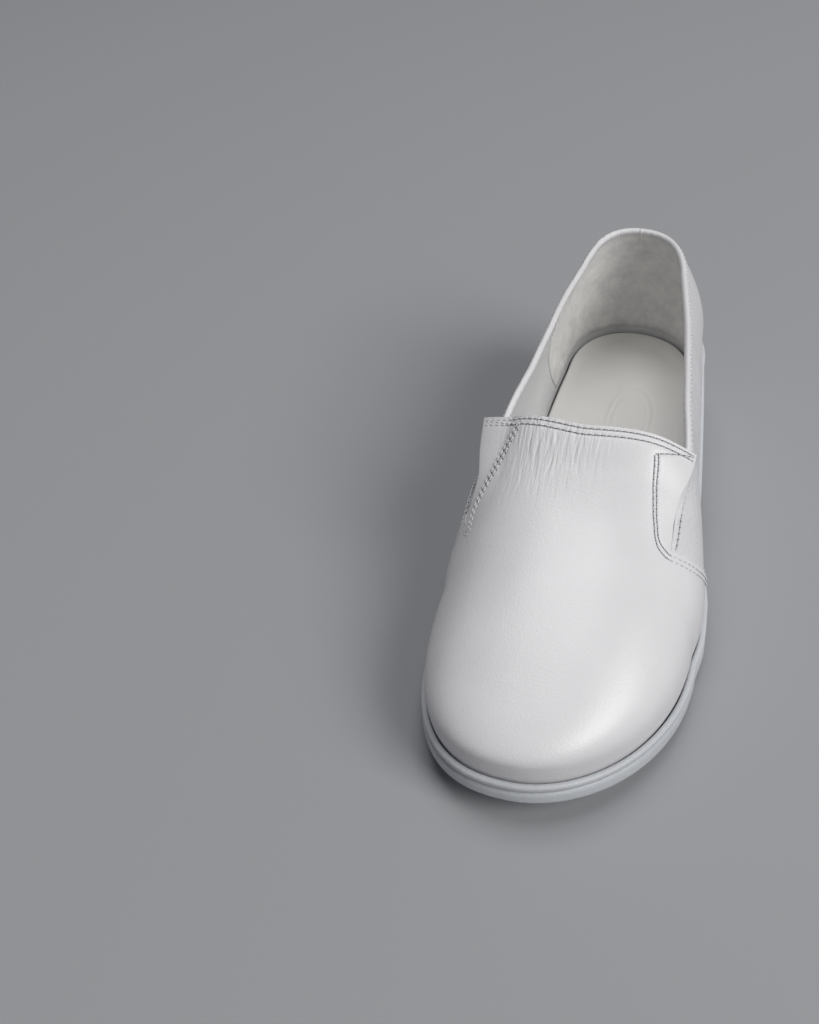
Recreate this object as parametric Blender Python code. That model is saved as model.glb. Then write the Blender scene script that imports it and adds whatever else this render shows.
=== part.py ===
"""Left nursing shoe: a white leather slip-on on a moulded wedge sole.

The shoe stands unbent on its sole, toe to -Y, heel to +Y, outer side to +X, floor at z = 0.
A place along the shoe is measured back from the tip of the toe and is given as a share of LENGTH.
"""

from collections import namedtuple

import bpy
import numpy as np

# Driving sizes of the last, in metres
LENGTH = 0.262
BALL_WIDTH = 0.097
INSTEP_HEIGHT = 0.075
COLLAR_HEIGHT = 0.088
RIM_HEIGHT = 0.0395
HEEL_SEAT = 0.0240
TOE_SPRING = 0.0085
ARCH_RISE = 0.0045
TOE_SHIFT = 0.0023
HEEL_RADIUS = 0.036
COLLAR_INSET = 0.0085

# Sizes of the upper
WALL = 0.0016
VAMP_STEP = 0.0010
INNER_FLAP_LIFT = 0.0068
OUTER_FLAP_LIFT = 0.0022
FLAP_WIDTH = 0.016
SLIT_GAP = 0.0012
SLIT_WIDENS = 0.25
FLAP_OVERLAP = 0.0038
SEAM_CLEARANCE = 0.0003
FEATHER_TUCK = 0.0018
FEATHER_GAP = 0.0007

# Sizes of the sole
LIP_WIDTH = 0.0024
LIP_HEIGHT = 0.0026
GROOVE_DEPTH = 0.0012
GROOVE_HEIGHT = 0.0010
SOLE_EDGE_ROUND = 0.0030
HEEL_UNDERCUT = 0.0035
HEEL_BEVEL = 0.0021
TREAD_BORDER = 0.0075
TREAD_DEPTH = 0.0013
TREAD_GROOVE = 0.0028
TREAD_GROOVE_DEPTH = 0.0011
GROOVE_REACH = 0.56 * BALL_WIDTH

# Sizes of the small pieces
INSOLE_THICKNESS = 0.0030
INSOLE_CUP = 0.0020
GORE_THICKNESS = 0.0010
GORE_REACH = 0.0075
GORE_GAP = 0.0012
BINDING_WALL = 0.0009
BINDING_DEPTH = 0.0036
BINDING_GAP = 0.00045
INSOLE_BEVEL = 0.0008
FIT_GAP = 0.0003

# Places along the shoe, as shares of LENGTH
TIP = 0.010
FAN = 0.267
SLIT_END = 0.333
INNER_SEAM_FOOT = 0.512
OUTER_SEAM_FOOT = 0.440
THROAT = 0.455
INNER_CORNER = 0.485
OUTER_CORNER = 0.474
BINDING_START = 0.492
HEEL_END = 0.9945
HEEL_FAN = HEEL_END - HEEL_RADIUS / LENGTH
ARCH_BLEND = (0.43, 0.57)
SPRING_START = 0.26
WAIST_RISE = (0.49, 0.57)
WAIST_FALL = (0.60, 0.74)
HEEL_RISE = (0.955, 1.01)
LIP_FADE = (0.46, 0.55)
STEP_FADE = (0.002, 0.030)
UNDERCUT_START = 0.90
CUP_RISE = (0.45, 0.80)
GORE_FRONT = SLIT_END - 0.010
GORE_BACK = 0.006

# Half widths of the foot, as shares of BALL_WIDTH
Width = namedtuple("Width", "along inner outer")
WIDTHS = (
    Width(0.267, 0.441, 0.498),
    Width(0.320, 0.456, 0.515),
    Width(0.382, 0.454, 0.508),
    Width(0.458, 0.421, 0.472),
    Width(0.534, 0.374, 0.439),
    Width(0.611, 0.342, 0.417),
    Width(0.687, 0.330, 0.395),
    Width(0.763, 0.324, 0.372),
    Width(0.863, 0.303, 0.340),
)

# Roundness of the outline as superellipse exponents
TOE_INNER_ROUND = 2.35
TOE_OUTER_ROUND = 1.94
HEEL_ROUND = 2.15

# How sharply a slow rise turns at its end, as exponents
SPRING_CURVE = 1.8
LEAN_CURVE = 1.7
INNER_SEAM_CURVE = 2.5
OUTER_SEAM_CURVE = 0.5
FLAP_CURVE = 1.3
FOLD_CURVE = 1.4
THROAT_CURVE = 0.8
GROOVE_CURVE = 1.6

# The height of the arch's half section, which turns lengths along it into angles
SECTION = 2 * COLLAR_INSET + INSTEP_HEIGHT / 2

# Ridge of the vamp as shares of INSTEP_HEIGHT, and the roundness of its arch
Ridge = namedtuple("Ridge", "along height roundness")
RIDGE = (
    Ridge(0.000, 0.495, 2.35),
    Ridge(0.115, 0.580, 2.35),
    Ridge(0.229, 0.682, 2.35),
    Ridge(0.320, 0.782, 2.40),
    Ridge(0.400, 0.910, 2.65),
    Ridge(0.450, 1.015, 2.95),
    Ridge(0.520, 1.140, 3.00),
    Ridge(0.600, 1.290, 3.00),
)

# Seat as shares of HEEL_SEAT, rim as shares of RIM_HEIGHT, widest place of the wall above the rim
Base = namedtuple("Base", "along seat rim bulge")
BASES = (
    Base(0.000, 0.640, 0.480, 0.200),
    Base(0.115, 0.480, 0.385, 0.170),
    Base(0.229, 0.395, 0.330, 0.160),
    Base(0.382, 0.390, 0.320, 0.160),
    Base(0.470, 0.430, 0.365, 0.190),
    Base(0.525, 0.490, 0.440, 0.240),
    Base(0.592, 0.610, 0.565, 0.270),
    Base(0.687, 0.765, 0.725, 0.300),
    Base(0.802, 0.900, 0.875, 0.330),
    Base(0.916, 0.980, 0.975, 0.350),
    Base(1.000, 1.000, 1.000, 0.360),
)

# Top edge of the quarters as shares of COLLAR_HEIGHT and its lean inward as shares of COLLAR_INSET
Collar = namedtuple("Collar", "along inner_height outer_height inner_inset outer_inset")
COLLARS = (
    Collar(0.267, 0.530, 0.530, 0.71, 0.78),
    Collar(0.344, 0.525, 0.585, 0.66, 0.76),
    Collar(0.410, 0.638, 0.668, 0.60, 0.79),
    Collar(0.484, 0.752, 0.751, 0.57, 0.80),
    Collar(0.515, 0.792, 0.784, 0.56, 0.83),
    Collar(0.611, 0.849, 0.835, 0.59, 0.89),
    Collar(0.725, 0.892, 0.875, 0.76, 0.95),
    Collar(0.840, 0.928, 0.919, 1.06, 1.16),
    Collar(0.935, 0.968, 0.967, 1.32, 1.38),
    Collar(1.000, 0.990, 0.990, 1.30, 1.30),
)

# Long tread groove: sideways place as a share of BALL_WIDTH
Run = namedtuple("Run", "along across")
LONG_GROOVE = (
    Run(0.100, -0.03),
    Run(0.190, 0.02),
    Run(0.270, 0.03),
    Run(0.350, 0.02),
    Run(0.420, -0.01),
    Run(0.490, -0.06),
    Run(0.620, -0.09),
    Run(0.760, -0.10),
    Run(0.880, -0.10),
)
HEEL_GROOVE = (Run(0.600, 0.12), Run(0.700, 0.13), Run(0.790, 0.12), Run(0.880, 0.10))

# Cross grooves: where each leaves the long groove and how far it leans to the toe at the edge
Cross = namedtuple("Cross", "along inner_lean outer_lean")
CROSS_GROOVES = (
    Cross(0.110, 0.035, 0.075),
    Cross(0.188, 0.030, 0.070),
    Cross(0.268, 0.022, 0.065),
    Cross(0.348, 0.012, 0.055),
    Cross(0.420, 0.005, 0.040),
    Cross(0.488, 0.000, 0.030),
    Cross(0.615, -0.010, 0.010),
    Cross(0.700, -0.015, 0.000),
    Cross(0.785, -0.015, 0.000),
    Cross(0.865, -0.015, 0.000),
)

# How finely the surfaces are divided
TOE_COLUMNS = 12
SIDE_COLUMNS = 7
REAR_COLUMNS = 26
FLAP_COLUMNS = 7
WALL_ROWS = (0.0, 0.30, 0.52, 0.72, 0.88, 1.0)
ARCH_ROWS = (0.0, 0.08, 0.16, 0.24, 0.34, 0.46, 0.62, 0.80, 1.0)

INNER = -1
OUTER = 1


def follow(table, column, along):
    """Smooth monotone curve through one column of a table, read at `along`."""
    x = np.array([row.along for row in table])
    y = np.array([getattr(row, column) for row in table])
    along = np.clip(np.asarray(along, float), x[0], x[-1])
    slope = np.diff(y) / np.diff(x)
    pair = slope[:-1] + slope[1:]
    same = slope[:-1] * slope[1:] > 0
    tangent = np.zeros_like(y)
    tangent[1:-1] = np.where(same, 2 * slope[:-1] * slope[1:] / np.where(same, pair, 1), 0)
    tangent[0] = slope[0]
    tangent[-1] = slope[-1]
    i = np.clip(np.searchsorted(x, along) - 1, 0, len(x) - 2)
    step = x[i + 1] - x[i]
    u = (along - x[i]) / step
    ends = (2 * u**3 - 3 * u**2 + 1) * y[i] + (3 * u**2 - 2 * u**3) * y[i + 1]
    return ends + step * ((u**3 - 2 * u**2 + u) * tangent[i] + (u**3 - u**2) * tangent[i + 1])


def ease(value, low, high):
    """0 below `low`, 1 above `high`, smooth between."""
    u = np.clip((value - low) / (high - low), 0, 1)
    return u * u * (3 - 2 * u)


def station_of(along):
    """Station of a place in the middle stretch; toe fan 0..1, middle 1..2, heel fan 2..3."""
    return 1 + (along - FAN) / (HEEL_FAN - FAN)


def outline(side, station):
    """Half width, place along the shoe and centre of the ray at a station of one side.

    The toe and the heel are quarter superellipses swept about their fan centres.
    """
    station = np.asarray(station, float)
    name = "outer" if side == OUTER else "inner"
    toe_round = TOE_OUTER_ROUND if side == OUTER else TOE_INNER_ROUND
    toe = np.clip(station, 0, 1) * np.pi / 2
    heel = np.clip(station - 2, 0, 1) * np.pi / 2
    along = FAN + (HEEL_FAN - FAN) * np.clip(station - 1, 0, 1)
    centre = along.copy()
    width = BALL_WIDTH * follow(WIDTHS, name, along)
    width = width * np.sin(toe) ** (2 / toe_round) * np.clip(np.cos(heel), 0, 1) ** (2 / HEEL_ROUND)
    along = along - (FAN - TIP) * np.clip(np.cos(toe), 0, 1) ** (2 / toe_round)
    along = along + (HEEL_END - HEEL_FAN) * np.sin(heel) ** (2 / HEEL_ROUND)
    return width, along, centre


def seam_foot(side):
    """Place where the seam of vamp and quarter reaches the sole."""
    return OUTER_SEAM_FOOT if side == OUTER else INNER_SEAM_FOOT


def rim_height(along):
    return RIM_HEIGHT * follow(BASES, "rim", along)


def seat_height(along):
    return HEEL_SEAT * follow(BASES, "seat", along)


def bulge_height(along):
    """Where the wall is widest, above the rim."""
    return rim_height(along) + RIM_HEIGHT * follow(BASES, "bulge", along)


def ridge_height(along):
    return INSTEP_HEIGHT * follow(RIDGE, "height", along)


def collar_height(side, along):
    name = "outer_height" if side == OUTER else "inner_height"
    return COLLAR_HEIGHT * follow(COLLARS, name, along)


def ground_height(along):
    """Height of the tread above the floor: flat under the ball and the heel."""
    along = np.asarray(along, float)
    spring = TOE_SPRING * np.clip(1 - along / SPRING_START, 0, 1) ** SPRING_CURVE
    arch = ARCH_RISE * ease(along, *WAIST_RISE) * (1 - ease(along, *WAIST_FALL))
    back = HEEL_BEVEL * ease(along, *HEEL_RISE)
    return spring + arch + back


def placed(side, width, along, centre, share, height):
    """Points `share` of the way out along the rays, with the toe swung to the inner side."""
    x = side * width * share
    place = centre + (along - centre) * share
    swing = TOE_SHIFT * np.clip((FAN - place) / FAN, 0, 1) ** 2
    return np.stack(np.broadcast_arrays(x - swing, place * LENGTH, height), -1)


def wall_share(side, station, height):
    """How far out along its ray the wall lies at a height, as a share of the half width.

    Above the bulge the front is a superellipse arch to the ridge and the rear leans in to the
    collar; between them the two are blended. Below the bulge the wall tucks in to the feather edge.
    """
    width, along, centre = outline(side, station)
    reach = np.hypot(width, (along - centre) * LENGTH)
    low = bulge_height(along)
    roundness = follow(RIDGE, "roundness", along)
    rise = np.clip((height - low) / (ridge_height(along) - low), 0, 1)
    front = (1 - rise**roundness) ** (1 / roundness)
    name = "outer_inset" if side == OUTER else "inner_inset"
    inset = COLLAR_INSET * follow(COLLARS, name, along)
    lean = np.clip((height - low) / (collar_height(side, along) - low), 0, 1.2)
    rear = 1 - inset * lean**LEAN_CURVE / reach
    back = ease(along, *ARCH_BLEND)
    above = (1 - back) * front + back * rear
    drop = np.clip((low - height) / (low - seat_height(along)), 0, 1)
    below = 1 - FEATHER_TUCK * drop**2 / reach
    return np.where(height > low, above, below)


def wall_point(side, station, height):
    width, along, centre = outline(side, station)
    return placed(side, width, along, centre, wall_share(side, station, height), height)


def arch_point(side, station, angle):
    """Point of the vamp's arch: angle 0 at the bulge, a quarter turn at the ridge."""
    width, along, centre = outline(side, station)
    roundness = follow(RIDGE, "roundness", along)
    share = np.clip(np.cos(angle), 0, 1) ** (2 / roundness)
    place = centre + (along - centre) * share
    low = bulge_height(along)
    height = low + (ridge_height(place) - low) * np.sin(angle) ** (2 / roundness)
    return placed(side, width, along, centre, share, height)


def angle_at(along, height):
    """Angle on the arch of the section at `along` where it reaches a height."""
    low = bulge_height(along)
    rise = (height - low) / (ridge_height(along) - low)
    return np.arcsin(np.clip(rise, 0, 1) ** (follow(RIDGE, "roundness", along) / 2))


class Sheet:
    """Open surface collected point by point; points at the same place are one point."""

    def __init__(self):
        self.points = []
        self.step = []
        self.lift = []
        self.index = {}
        self.faces = []

    def point(self, place, step=0.0, lift=0.0, tag=0):
        key = (tag,) + tuple(round(float(v), 7) for v in place)
        if key not in self.index:
            self.index[key] = len(self.points)
            self.points.append([float(v) for v in place])
            self.step.append(step)
            self.lift.append(lift)
        return self.index[key]

    def patch(self, rows, turned):
        """Faces between neighbouring rows of point numbers; a pinched face keeps its corners once."""
        for first, second in zip(rows[:-1], rows[1:]):
            for i in range(len(first) - 1):
                corners = [first[i], first[i + 1], second[i + 1], second[i]]
                corners = list(dict.fromkeys(corners))
                if len(corners) > 2:
                    self.faces.append(corners[::-1] if turned else corners)


def point_normals(points, faces):
    """Area-weighted normal at each point."""
    normals = np.zeros_like(points)
    for face in faces:
        corners = points[list(face)]
        area = np.zeros(3)
        for i in range(1, len(corners) - 1):
            area += np.cross(corners[i] - corners[0], corners[i + 1] - corners[0])
        normals[list(face)] += area
    return normals / np.linalg.norm(normals, axis=1)[:, None]


def thicken(points, faces, outward, inward):
    """Closed shell round an open surface: its two faces and the strip along its edges."""
    normals = point_normals(points, faces)
    count = len(points)
    both = np.concatenate([points + normals * outward[:, None], points - normals * inward[:, None]])
    shell = [list(face) for face in faces] + [[i + count for i in reversed(face)] for face in faces]
    edges = {}
    for face in faces:
        for a, b in zip(face, list(face[1:]) + [face[0]]):
            edges[(a, b)] = True
    for a, b in edges:
        if (b, a) not in edges:
            shell.append([b, a, a + count, b + count])
    return both, shell


def add_object(name, points, faces, material):
    mesh = bpy.data.meshes.new(name)
    mesh.from_pydata([tuple(point) for point in points], [], faces)
    mesh.validate()
    shape = bpy.data.objects.new(name, mesh)
    bpy.context.scene.collection.objects.link(shape)
    if material:
        mesh.materials.append(material)
    mesh.shade_smooth()
    mesh.set_sharp_from_angle(angle=np.radians(35))
    return shape


def add_material(name, colour, roughness):
    material = bpy.data.materials.new(name)
    material.use_nodes = True
    shader = material.node_tree.nodes["Principled BSDF"]
    shader.inputs["Base Color"].default_value = (*colour, 1)
    shader.inputs["Roughness"].default_value = roughness
    shader.inputs["Metallic"].default_value = 0
    return material


def wall_column(sheet, side, foot, head, step, tag):
    """One column of the wall from the feather edge to the top edge.

    It stands upright at the sole and leans forward toward the top, as the vamp's seam does.
    """
    _, foot_along, _ = outline(side, foot)
    _, head_along, _ = outline(side, head)
    low = bulge_height(foot_along)
    high = collar_height(side, head_along)
    curve = OUTER_SEAM_CURVE if side == OUTER else INNER_SEAM_CURVE
    heights = [seat_height(foot_along) + FEATHER_GAP, rim_height(foot_along)]
    stations = [foot, foot]
    for share in WALL_ROWS:
        heights.append(low + (high - low) * share)
        stations.append(foot + (head - foot) * share**curve)
    return [
        sheet.point(wall_point(side, station, height), step, tag=tag)
        for station, height in zip(stations, heights)
    ]


def toe_column(sheet, side, station):
    """One ray of the toe: up the wall, then over the arch to the fan centre."""
    _, along, _ = outline(side, station)
    heights = [seat_height(along) + FEATHER_GAP, rim_height(along)]
    column = [sheet.point(wall_point(side, station, height), VAMP_STEP) for height in heights]
    low = bulge_height(FAN)
    high = collar_height(side, FAN)
    head = angle_at(FAN, high)
    for share in WALL_ROWS:
        angle = angle_at(FAN, low + (high - low) * share)
        column.append(sheet.point(arch_point(side, station, angle), VAMP_STEP))
    for share in ARCH_ROWS[1:]:
        angle = head + (np.pi / 2 - head) * share
        column.append(sheet.point(arch_point(side, station, angle), VAMP_STEP))
    return column


def bridge_column(sheet, side, order):
    """Half of one section of the vamp, from its side edge up to the ridge.

    Behind the slit's end the side edge is free, and the flap there stands off the shoe.
    """
    corner = OUTER_CORNER if side == OUTER else INNER_CORNER
    flap_lift = OUTER_FLAP_LIFT if side == OUTER else INNER_FLAP_LIFT
    if order <= SIDE_COLUMNS:
        edge = FAN + (SLIT_END - FAN) * order / SIDE_COLUMNS
        ridge = edge
        open_share = 0.0
    else:
        open_share = (order - SIDE_COLUMNS) / FLAP_COLUMNS
        edge = SLIT_END + (corner - SLIT_END) * open_share
        ridge = SLIT_END + (THROAT - SLIT_END) * open_share
    gap = SLIT_GAP * min(open_share / SLIT_WIDENS, 1) - FLAP_OVERLAP * open_share**2
    column = []
    for share in ARCH_ROWS:
        along = edge + (ridge - edge) * share**THROAT_CURVE
        head = angle_at(along, collar_height(side, edge)) + gap / SECTION
        angle = head + (np.pi / 2 - head) * share
        near = max(0.0, 1 - share * SECTION / FLAP_WIDTH)
        lift = flap_lift * open_share**FLAP_CURVE * near**FOLD_CURVE
        column.append(sheet.point(arch_point(side, station_of(along), angle), VAMP_STEP, lift))
    return column


def rear_stations(side):
    """Stations of the quarters' columns at the sole and at the top edge."""
    share = np.linspace(0, 1, REAR_COLUMNS + 1)
    seam = station_of(seam_foot(side))
    start = seam + SEAM_CLEARANCE / (LENGTH * (HEEL_FAN - FAN))
    foot = start + (3 - start) * share
    head = foot - (seam - station_of(SLIT_END)) * (1 - share) ** 2
    return foot, head


def upper_sheet():
    """The upper's middle surface: toe fan, vamp sides, quarters, and the vamp's bridge."""
    sheet = Sheet()
    for side in (INNER, OUTER):
        turned = side == OUTER
        toe = [toe_column(sheet, side, i / TOE_COLUMNS) for i in range(TOE_COLUMNS + 1)]
        sheet.patch(toe, turned)
        foot = np.linspace(1, station_of(seam_foot(side)), SIDE_COLUMNS + 1)
        head = np.linspace(1, station_of(SLIT_END), SIDE_COLUMNS + 1)
        vamp = [wall_column(sheet, side, f, h, VAMP_STEP, 0) for f, h in zip(foot, head)]
        sheet.patch(vamp, turned)
        foot, head = rear_stations(side)
        rear = [wall_column(sheet, side, f, h, 0.0, 1) for f, h in zip(foot, head)]
        sheet.patch([vamp[-1]] + rear, turned)
        bridge = [bridge_column(sheet, side, i) for i in range(SIDE_COLUMNS + FLAP_COLUMNS + 1)]
        sheet.patch(bridge, turned)
    return sheet


def build_upper(material):
    sheet = upper_sheet()
    points = np.array(sheet.points)
    lift = np.array(sheet.lift)
    points = points + point_normals(points, sheet.faces) * lift[:, None]
    outward = np.array(sheet.step)
    inward = np.full(len(points), WALL)
    return add_object("upper", *thicken(points, sheet.faces, outward, inward), material)


def loop_stations():
    """Stations round the whole shoe: toe to heel on the outer side, then back on the inner."""
    toe = np.linspace(0, 1, TOE_COLUMNS + 1)[:-1]
    side_feet = np.linspace(1, station_of(INNER_SEAM_FOOT), SIDE_COLUMNS + 1)
    rear_feet, _ = rear_stations(INNER)
    one_side = np.concatenate([toe, side_feet, rear_feet[1:]])
    outer = [(OUTER, station) for station in one_side]
    inner = [(INNER, station) for station in one_side[-2:0:-1]]
    return outer + inner


def ring_mesh(columns):
    """Closed body from columns that start and end on the shoe's middle line."""
    sheet = Sheet()
    rows = [[sheet.point(place) for place in column] for column in columns]
    sheet.patch(rows + [rows[0]], False)
    return np.array(sheet.points), sheet.faces


def sole_column(side, station):
    """Profile of the sole at one station, from the seat's middle line round to the tread's."""
    width, along, centre = outline(side, station)
    reach = float(np.hypot(width, (along - centre) * LENGTH))
    seat = seat_height(along)
    rim = rim_height(along)
    ground = ground_height(along)
    front = 1 - ease(along, *LIP_FADE)
    step = VAMP_STEP * (1 - ease(along - seam_foot(side), *STEP_FADE))
    undercut = HEEL_UNDERCUT * ease(along, UNDERCUT_START, 1)
    wall_low = reach * float(wall_share(side, station, seat)) + step + FIT_GAP
    wall_high = reach * float(wall_share(side, station, rim)) + step + FIT_GAP
    lip = wall_high + LIP_WIDTH
    groove = GROOVE_DEPTH * front
    below = rim - LIP_HEIGHT
    edge_round = SOLE_EDGE_ROUND * (0.5 + 0.5 * front)
    foot = lip - edge_round - undercut
    tread = foot - TREAD_BORDER
    border = ground + TREAD_DEPTH
    middle = 0.5 * (below - GROOVE_HEIGHT + ground)
    profile = [
        (0.0, seat),
        (0.6 * wall_low, seat),
        (wall_low, seat),
        (wall_high, rim - 0.3 * LIP_HEIGHT),
        (wall_high + 0.25 * LIP_WIDTH, rim),
        (lip - 0.3 * LIP_WIDTH, rim),
        (lip, rim - 0.35 * LIP_HEIGHT),
        (lip - 0.15 * groove, below),
        (lip - groove, below - 0.2 * GROOVE_HEIGHT),
        (lip - groove, below - GROOVE_HEIGHT),
        (lip - 0.2 * groove - 0.1 * undercut, below - 1.4 * GROOVE_HEIGHT),
        (lip + 0.1 * LIP_WIDTH * front - 0.4 * undercut, middle),
        (lip - 0.25 * edge_round - 0.8 * undercut, border + 0.45 * (middle - border)),
        (foot, border),
        (tread, border),
        (tread - 0.3 * TREAD_DEPTH, ground),
        (0.5 * tread, None),
        (0.0, None),
    ]
    column = []
    for out, height in profile:
        share = out / reach
        if height is None:
            height = ground_height(centre + (along - centre) * share)
        elif out < 0.7 * wall_low and height == seat:
            height = seat_height(centre + (along - centre) * share)
        column.append(placed(side, width, along, centre, share, height))
    return column


def ground_at(place):
    """Tread height under a place measured in metres from the toe."""
    return ground_height(np.asarray(place) / LENGTH)


def groove_body(path):
    """Closed bar along a path of (x, y) points, from below the tread to the groove's floor."""
    path = np.array(path)
    ahead = np.gradient(path, axis=0)
    ahead /= np.linalg.norm(ahead, axis=1)[:, None]
    across = np.stack([-ahead[:, 1], ahead[:, 0]], 1) * TREAD_GROOVE / 2
    top = ground_at(path[:, 1]) + TREAD_GROOVE_DEPTH
    bottom = top - 4 * TREAD_DEPTH
    corners = [
        np.column_stack([path + across, bottom]),
        np.column_stack([path - across, bottom]),
        np.column_stack([path - across, top]),
        np.column_stack([path + across, top]),
    ]
    points = np.concatenate(corners)
    count = len(path)
    faces = []
    for k in range(4):
        a = k * count
        b = (k + 1) % 4 * count
        faces += [[a + i, a + i + 1, b + i + 1, b + i] for i in range(count - 1)]
    faces.append([0, count, 2 * count, 3 * count])
    faces.append([count - 1, 4 * count - 1, 3 * count - 1, 2 * count - 1])
    return points, faces


def joined(bodies):
    points = []
    faces = []
    for body_points, body_faces in bodies:
        faces += [[i + len(points) for i in face] for face in body_faces]
        points += list(body_points)
    return points, faces


def long_path(table):
    along = np.linspace(table[0].along, table[-1].along, 25)
    x = BALL_WIDTH * follow(table, "across", along)
    return np.column_stack([x, along * LENGTH])


def cross_path(groove, side):
    """A cross groove on one side: from the long groove out past the tread, leaning to the toe."""
    start = BALL_WIDTH * float(follow(LONG_GROOVE, "across", groove.along))
    lean = groove.outer_lean if side == OUTER else groove.inner_lean
    share = np.linspace(0, 1, 9)
    x = start + (side * GROOVE_REACH - start) * share
    along = groove.along - lean * share**GROOVE_CURVE
    return np.column_stack([x, along * LENGTH])


def add_cutter(name, bodies):
    points, faces = joined(bodies)
    cutter = add_object(name, points, faces, None)
    cutter.hide_render = True
    cutter.display_type = "WIRE"
    return cutter


def cut(body, cutter):
    modifier = body.modifiers.new(cutter.name, "BOOLEAN")
    modifier.operation = "DIFFERENCE"
    modifier.solver = "EXACT"
    modifier.object = cutter


def build_sole(material):
    columns = [sole_column(side, station) for side, station in loop_stations()]
    sole = add_object("sole", *ring_mesh(columns), material)
    lengthwise = [groove_body(long_path(LONG_GROOVE)), groove_body(long_path(HEEL_GROOVE))]
    cut(sole, add_cutter("long_grooves", lengthwise))
    for side, name in ((INNER, "inner_cross_grooves"), (OUTER, "outer_cross_grooves")):
        cut(sole, add_cutter(name, [groove_body(cross_path(row, side)) for row in CROSS_GROOVES]))
    return sole


def insole_column(side, station):
    """Profile of the loose insole, dished a little at its edge."""
    width, along, centre = outline(side, station)
    reach = float(np.hypot(width, (along - centre) * LENGTH))
    low = seat_height(along) + FIT_GAP
    high = low + INSOLE_THICKNESS
    cup = INSOLE_CUP * ease(along, *CUP_RISE)
    edge = reach * float(wall_share(side, station, seat_height(along))) - WALL - 2 * FIT_GAP
    column = []
    for out, over in (
        (0.0, INSOLE_THICKNESS),
        (0.6 * edge, INSOLE_THICKNESS),
        (0.86 * edge, INSOLE_THICKNESS + 0.3 * cup),
        (edge - INSOLE_BEVEL, INSOLE_THICKNESS + cup),
        (edge, INSOLE_THICKNESS + cup - INSOLE_BEVEL),
        (edge, INSOLE_BEVEL),
        (edge - INSOLE_BEVEL, 0.0),
        (0.6 * edge, 0.0),
        (0.0, 0.0),
    ):
        share = out / reach
        level = seat_height(centre + (along - centre) * share) if out < 0.7 * edge else low - FIT_GAP
        column.append(placed(side, width, along, centre, share, level + FIT_GAP + over))
    return column


def build_insole(material):
    columns = [insole_column(side, station) for side, station in loop_stations()]
    return add_object("insole", *ring_mesh(columns), material)


def build_gore(name, side, material):
    """Elastic strip under one slit, inside both the vamp and the quarter."""
    sheet = Sheet()
    rows = []
    corner = OUTER_CORNER if side == OUTER else INNER_CORNER
    for along in np.linspace(GORE_FRONT, corner - GORE_BACK, 10):
        station = station_of(along)
        edge = collar_height(side, along)
        head = angle_at(along, edge)
        row = [sheet.point(wall_point(side, station, edge - GORE_REACH * drop)) for drop in (1, 0.6, 0.2)]
        for rise in (0.2, 0.6, 1.0):
            row.append(sheet.point(arch_point(side, station, head + rise * GORE_REACH / SECTION)))
        rows.append(row)
    sheet.patch(rows, side == OUTER)
    points = np.array(sheet.points)
    near = np.full(len(points), -(WALL + GORE_GAP))
    far = np.full(len(points), WALL + GORE_GAP + GORE_THICKNESS)
    return add_object(name, *thicken(points, sheet.faces, near, far), material)


def binding_stations():
    """The quarters' top stations from one slit round the heel to the other."""
    rounds = {}
    for side in (INNER, OUTER):
        _, head = rear_stations(side)
        rounds[side] = [(side, station) for station in head if station >= station_of(BINDING_START)]
    return rounds[OUTER] + rounds[INNER][-2::-1]


def unit(arrows):
    return arrows / np.linalg.norm(arrows, axis=-1, keepdims=True)


def build_binding(material):
    """Channel folded over the top edge of the quarters, from one slit round to the other."""
    inside = BINDING_GAP
    outside = BINDING_GAP + BINDING_WALL
    heads = []
    feet = []
    for side, station in binding_stations():
        _, along, _ = outline(side, station)
        top = float(collar_height(side, along))
        heads.append(wall_point(side, station, top))
        feet.append(wall_point(side, station, top - BINDING_DEPTH))
    heads = np.array(heads)
    down = unit(np.array(feet) - heads)
    out = unit(np.cross(down, np.gradient(heads, axis=0)))
    profile = (
        (outside, BINDING_DEPTH),
        (outside, 0.3 * BINDING_WALL),
        (0.4 * outside, -outside),
        (-WALL - 0.4 * outside, -outside),
        (-WALL - outside, 0.3 * BINDING_WALL),
        (-WALL - outside, BINDING_DEPTH),
        (-WALL - inside, BINDING_DEPTH),
        (-WALL - inside, -inside),
        (inside, -inside),
        (inside, BINDING_DEPTH),
    )
    rings = [
        [head + side_way * o + down_way * d for o, d in profile]
        for head, side_way, down_way in zip(heads, out, down)
    ]
    points = [place for ring in rings for place in ring]
    size = len(rings[0])
    faces = []
    for k in range(len(rings) - 1):
        for i in range(size):
            j = (i + 1) % size
            faces.append([(k + 1) * size + i, (k + 1) * size + j, k * size + j, k * size + i])
    faces.append(list(range(size)))
    faces.append([(len(rings) - 1) * size + i for i in range(size)][::-1])
    return add_object("collar_binding", points, faces, material)


def centre_on_floor(shapes):
    """Moves the finished shoe so that its box stands centred on the origin."""
    bpy.context.view_layer.update()
    graph = bpy.context.evaluated_depsgraph_get()
    corners = []
    for shape in shapes:
        mesh = shape.evaluated_get(graph).to_mesh()
        corners += [tuple(vertex.co) for vertex in mesh.vertices]
        shape.evaluated_get(graph).to_mesh_clear()
    corners = np.array(corners)
    low = corners.min(0)
    high = corners.max(0)
    shift = np.array([(low[0] + high[0]) / 2, (low[1] + high[1]) / 2, low[2]])
    for mesh in bpy.data.meshes:
        mesh.vertices.foreach_set("co", (mesh_points(mesh) - shift).ravel())
        mesh.update()


def mesh_points(mesh):
    places = np.empty(3 * len(mesh.vertices))
    mesh.vertices.foreach_get("co", places)
    return places.reshape(-1, 3)


def clear_scene():
    for shape in list(bpy.data.objects):
        bpy.data.objects.remove(shape)
    for mesh in list(bpy.data.meshes):
        bpy.data.meshes.remove(mesh)


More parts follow.
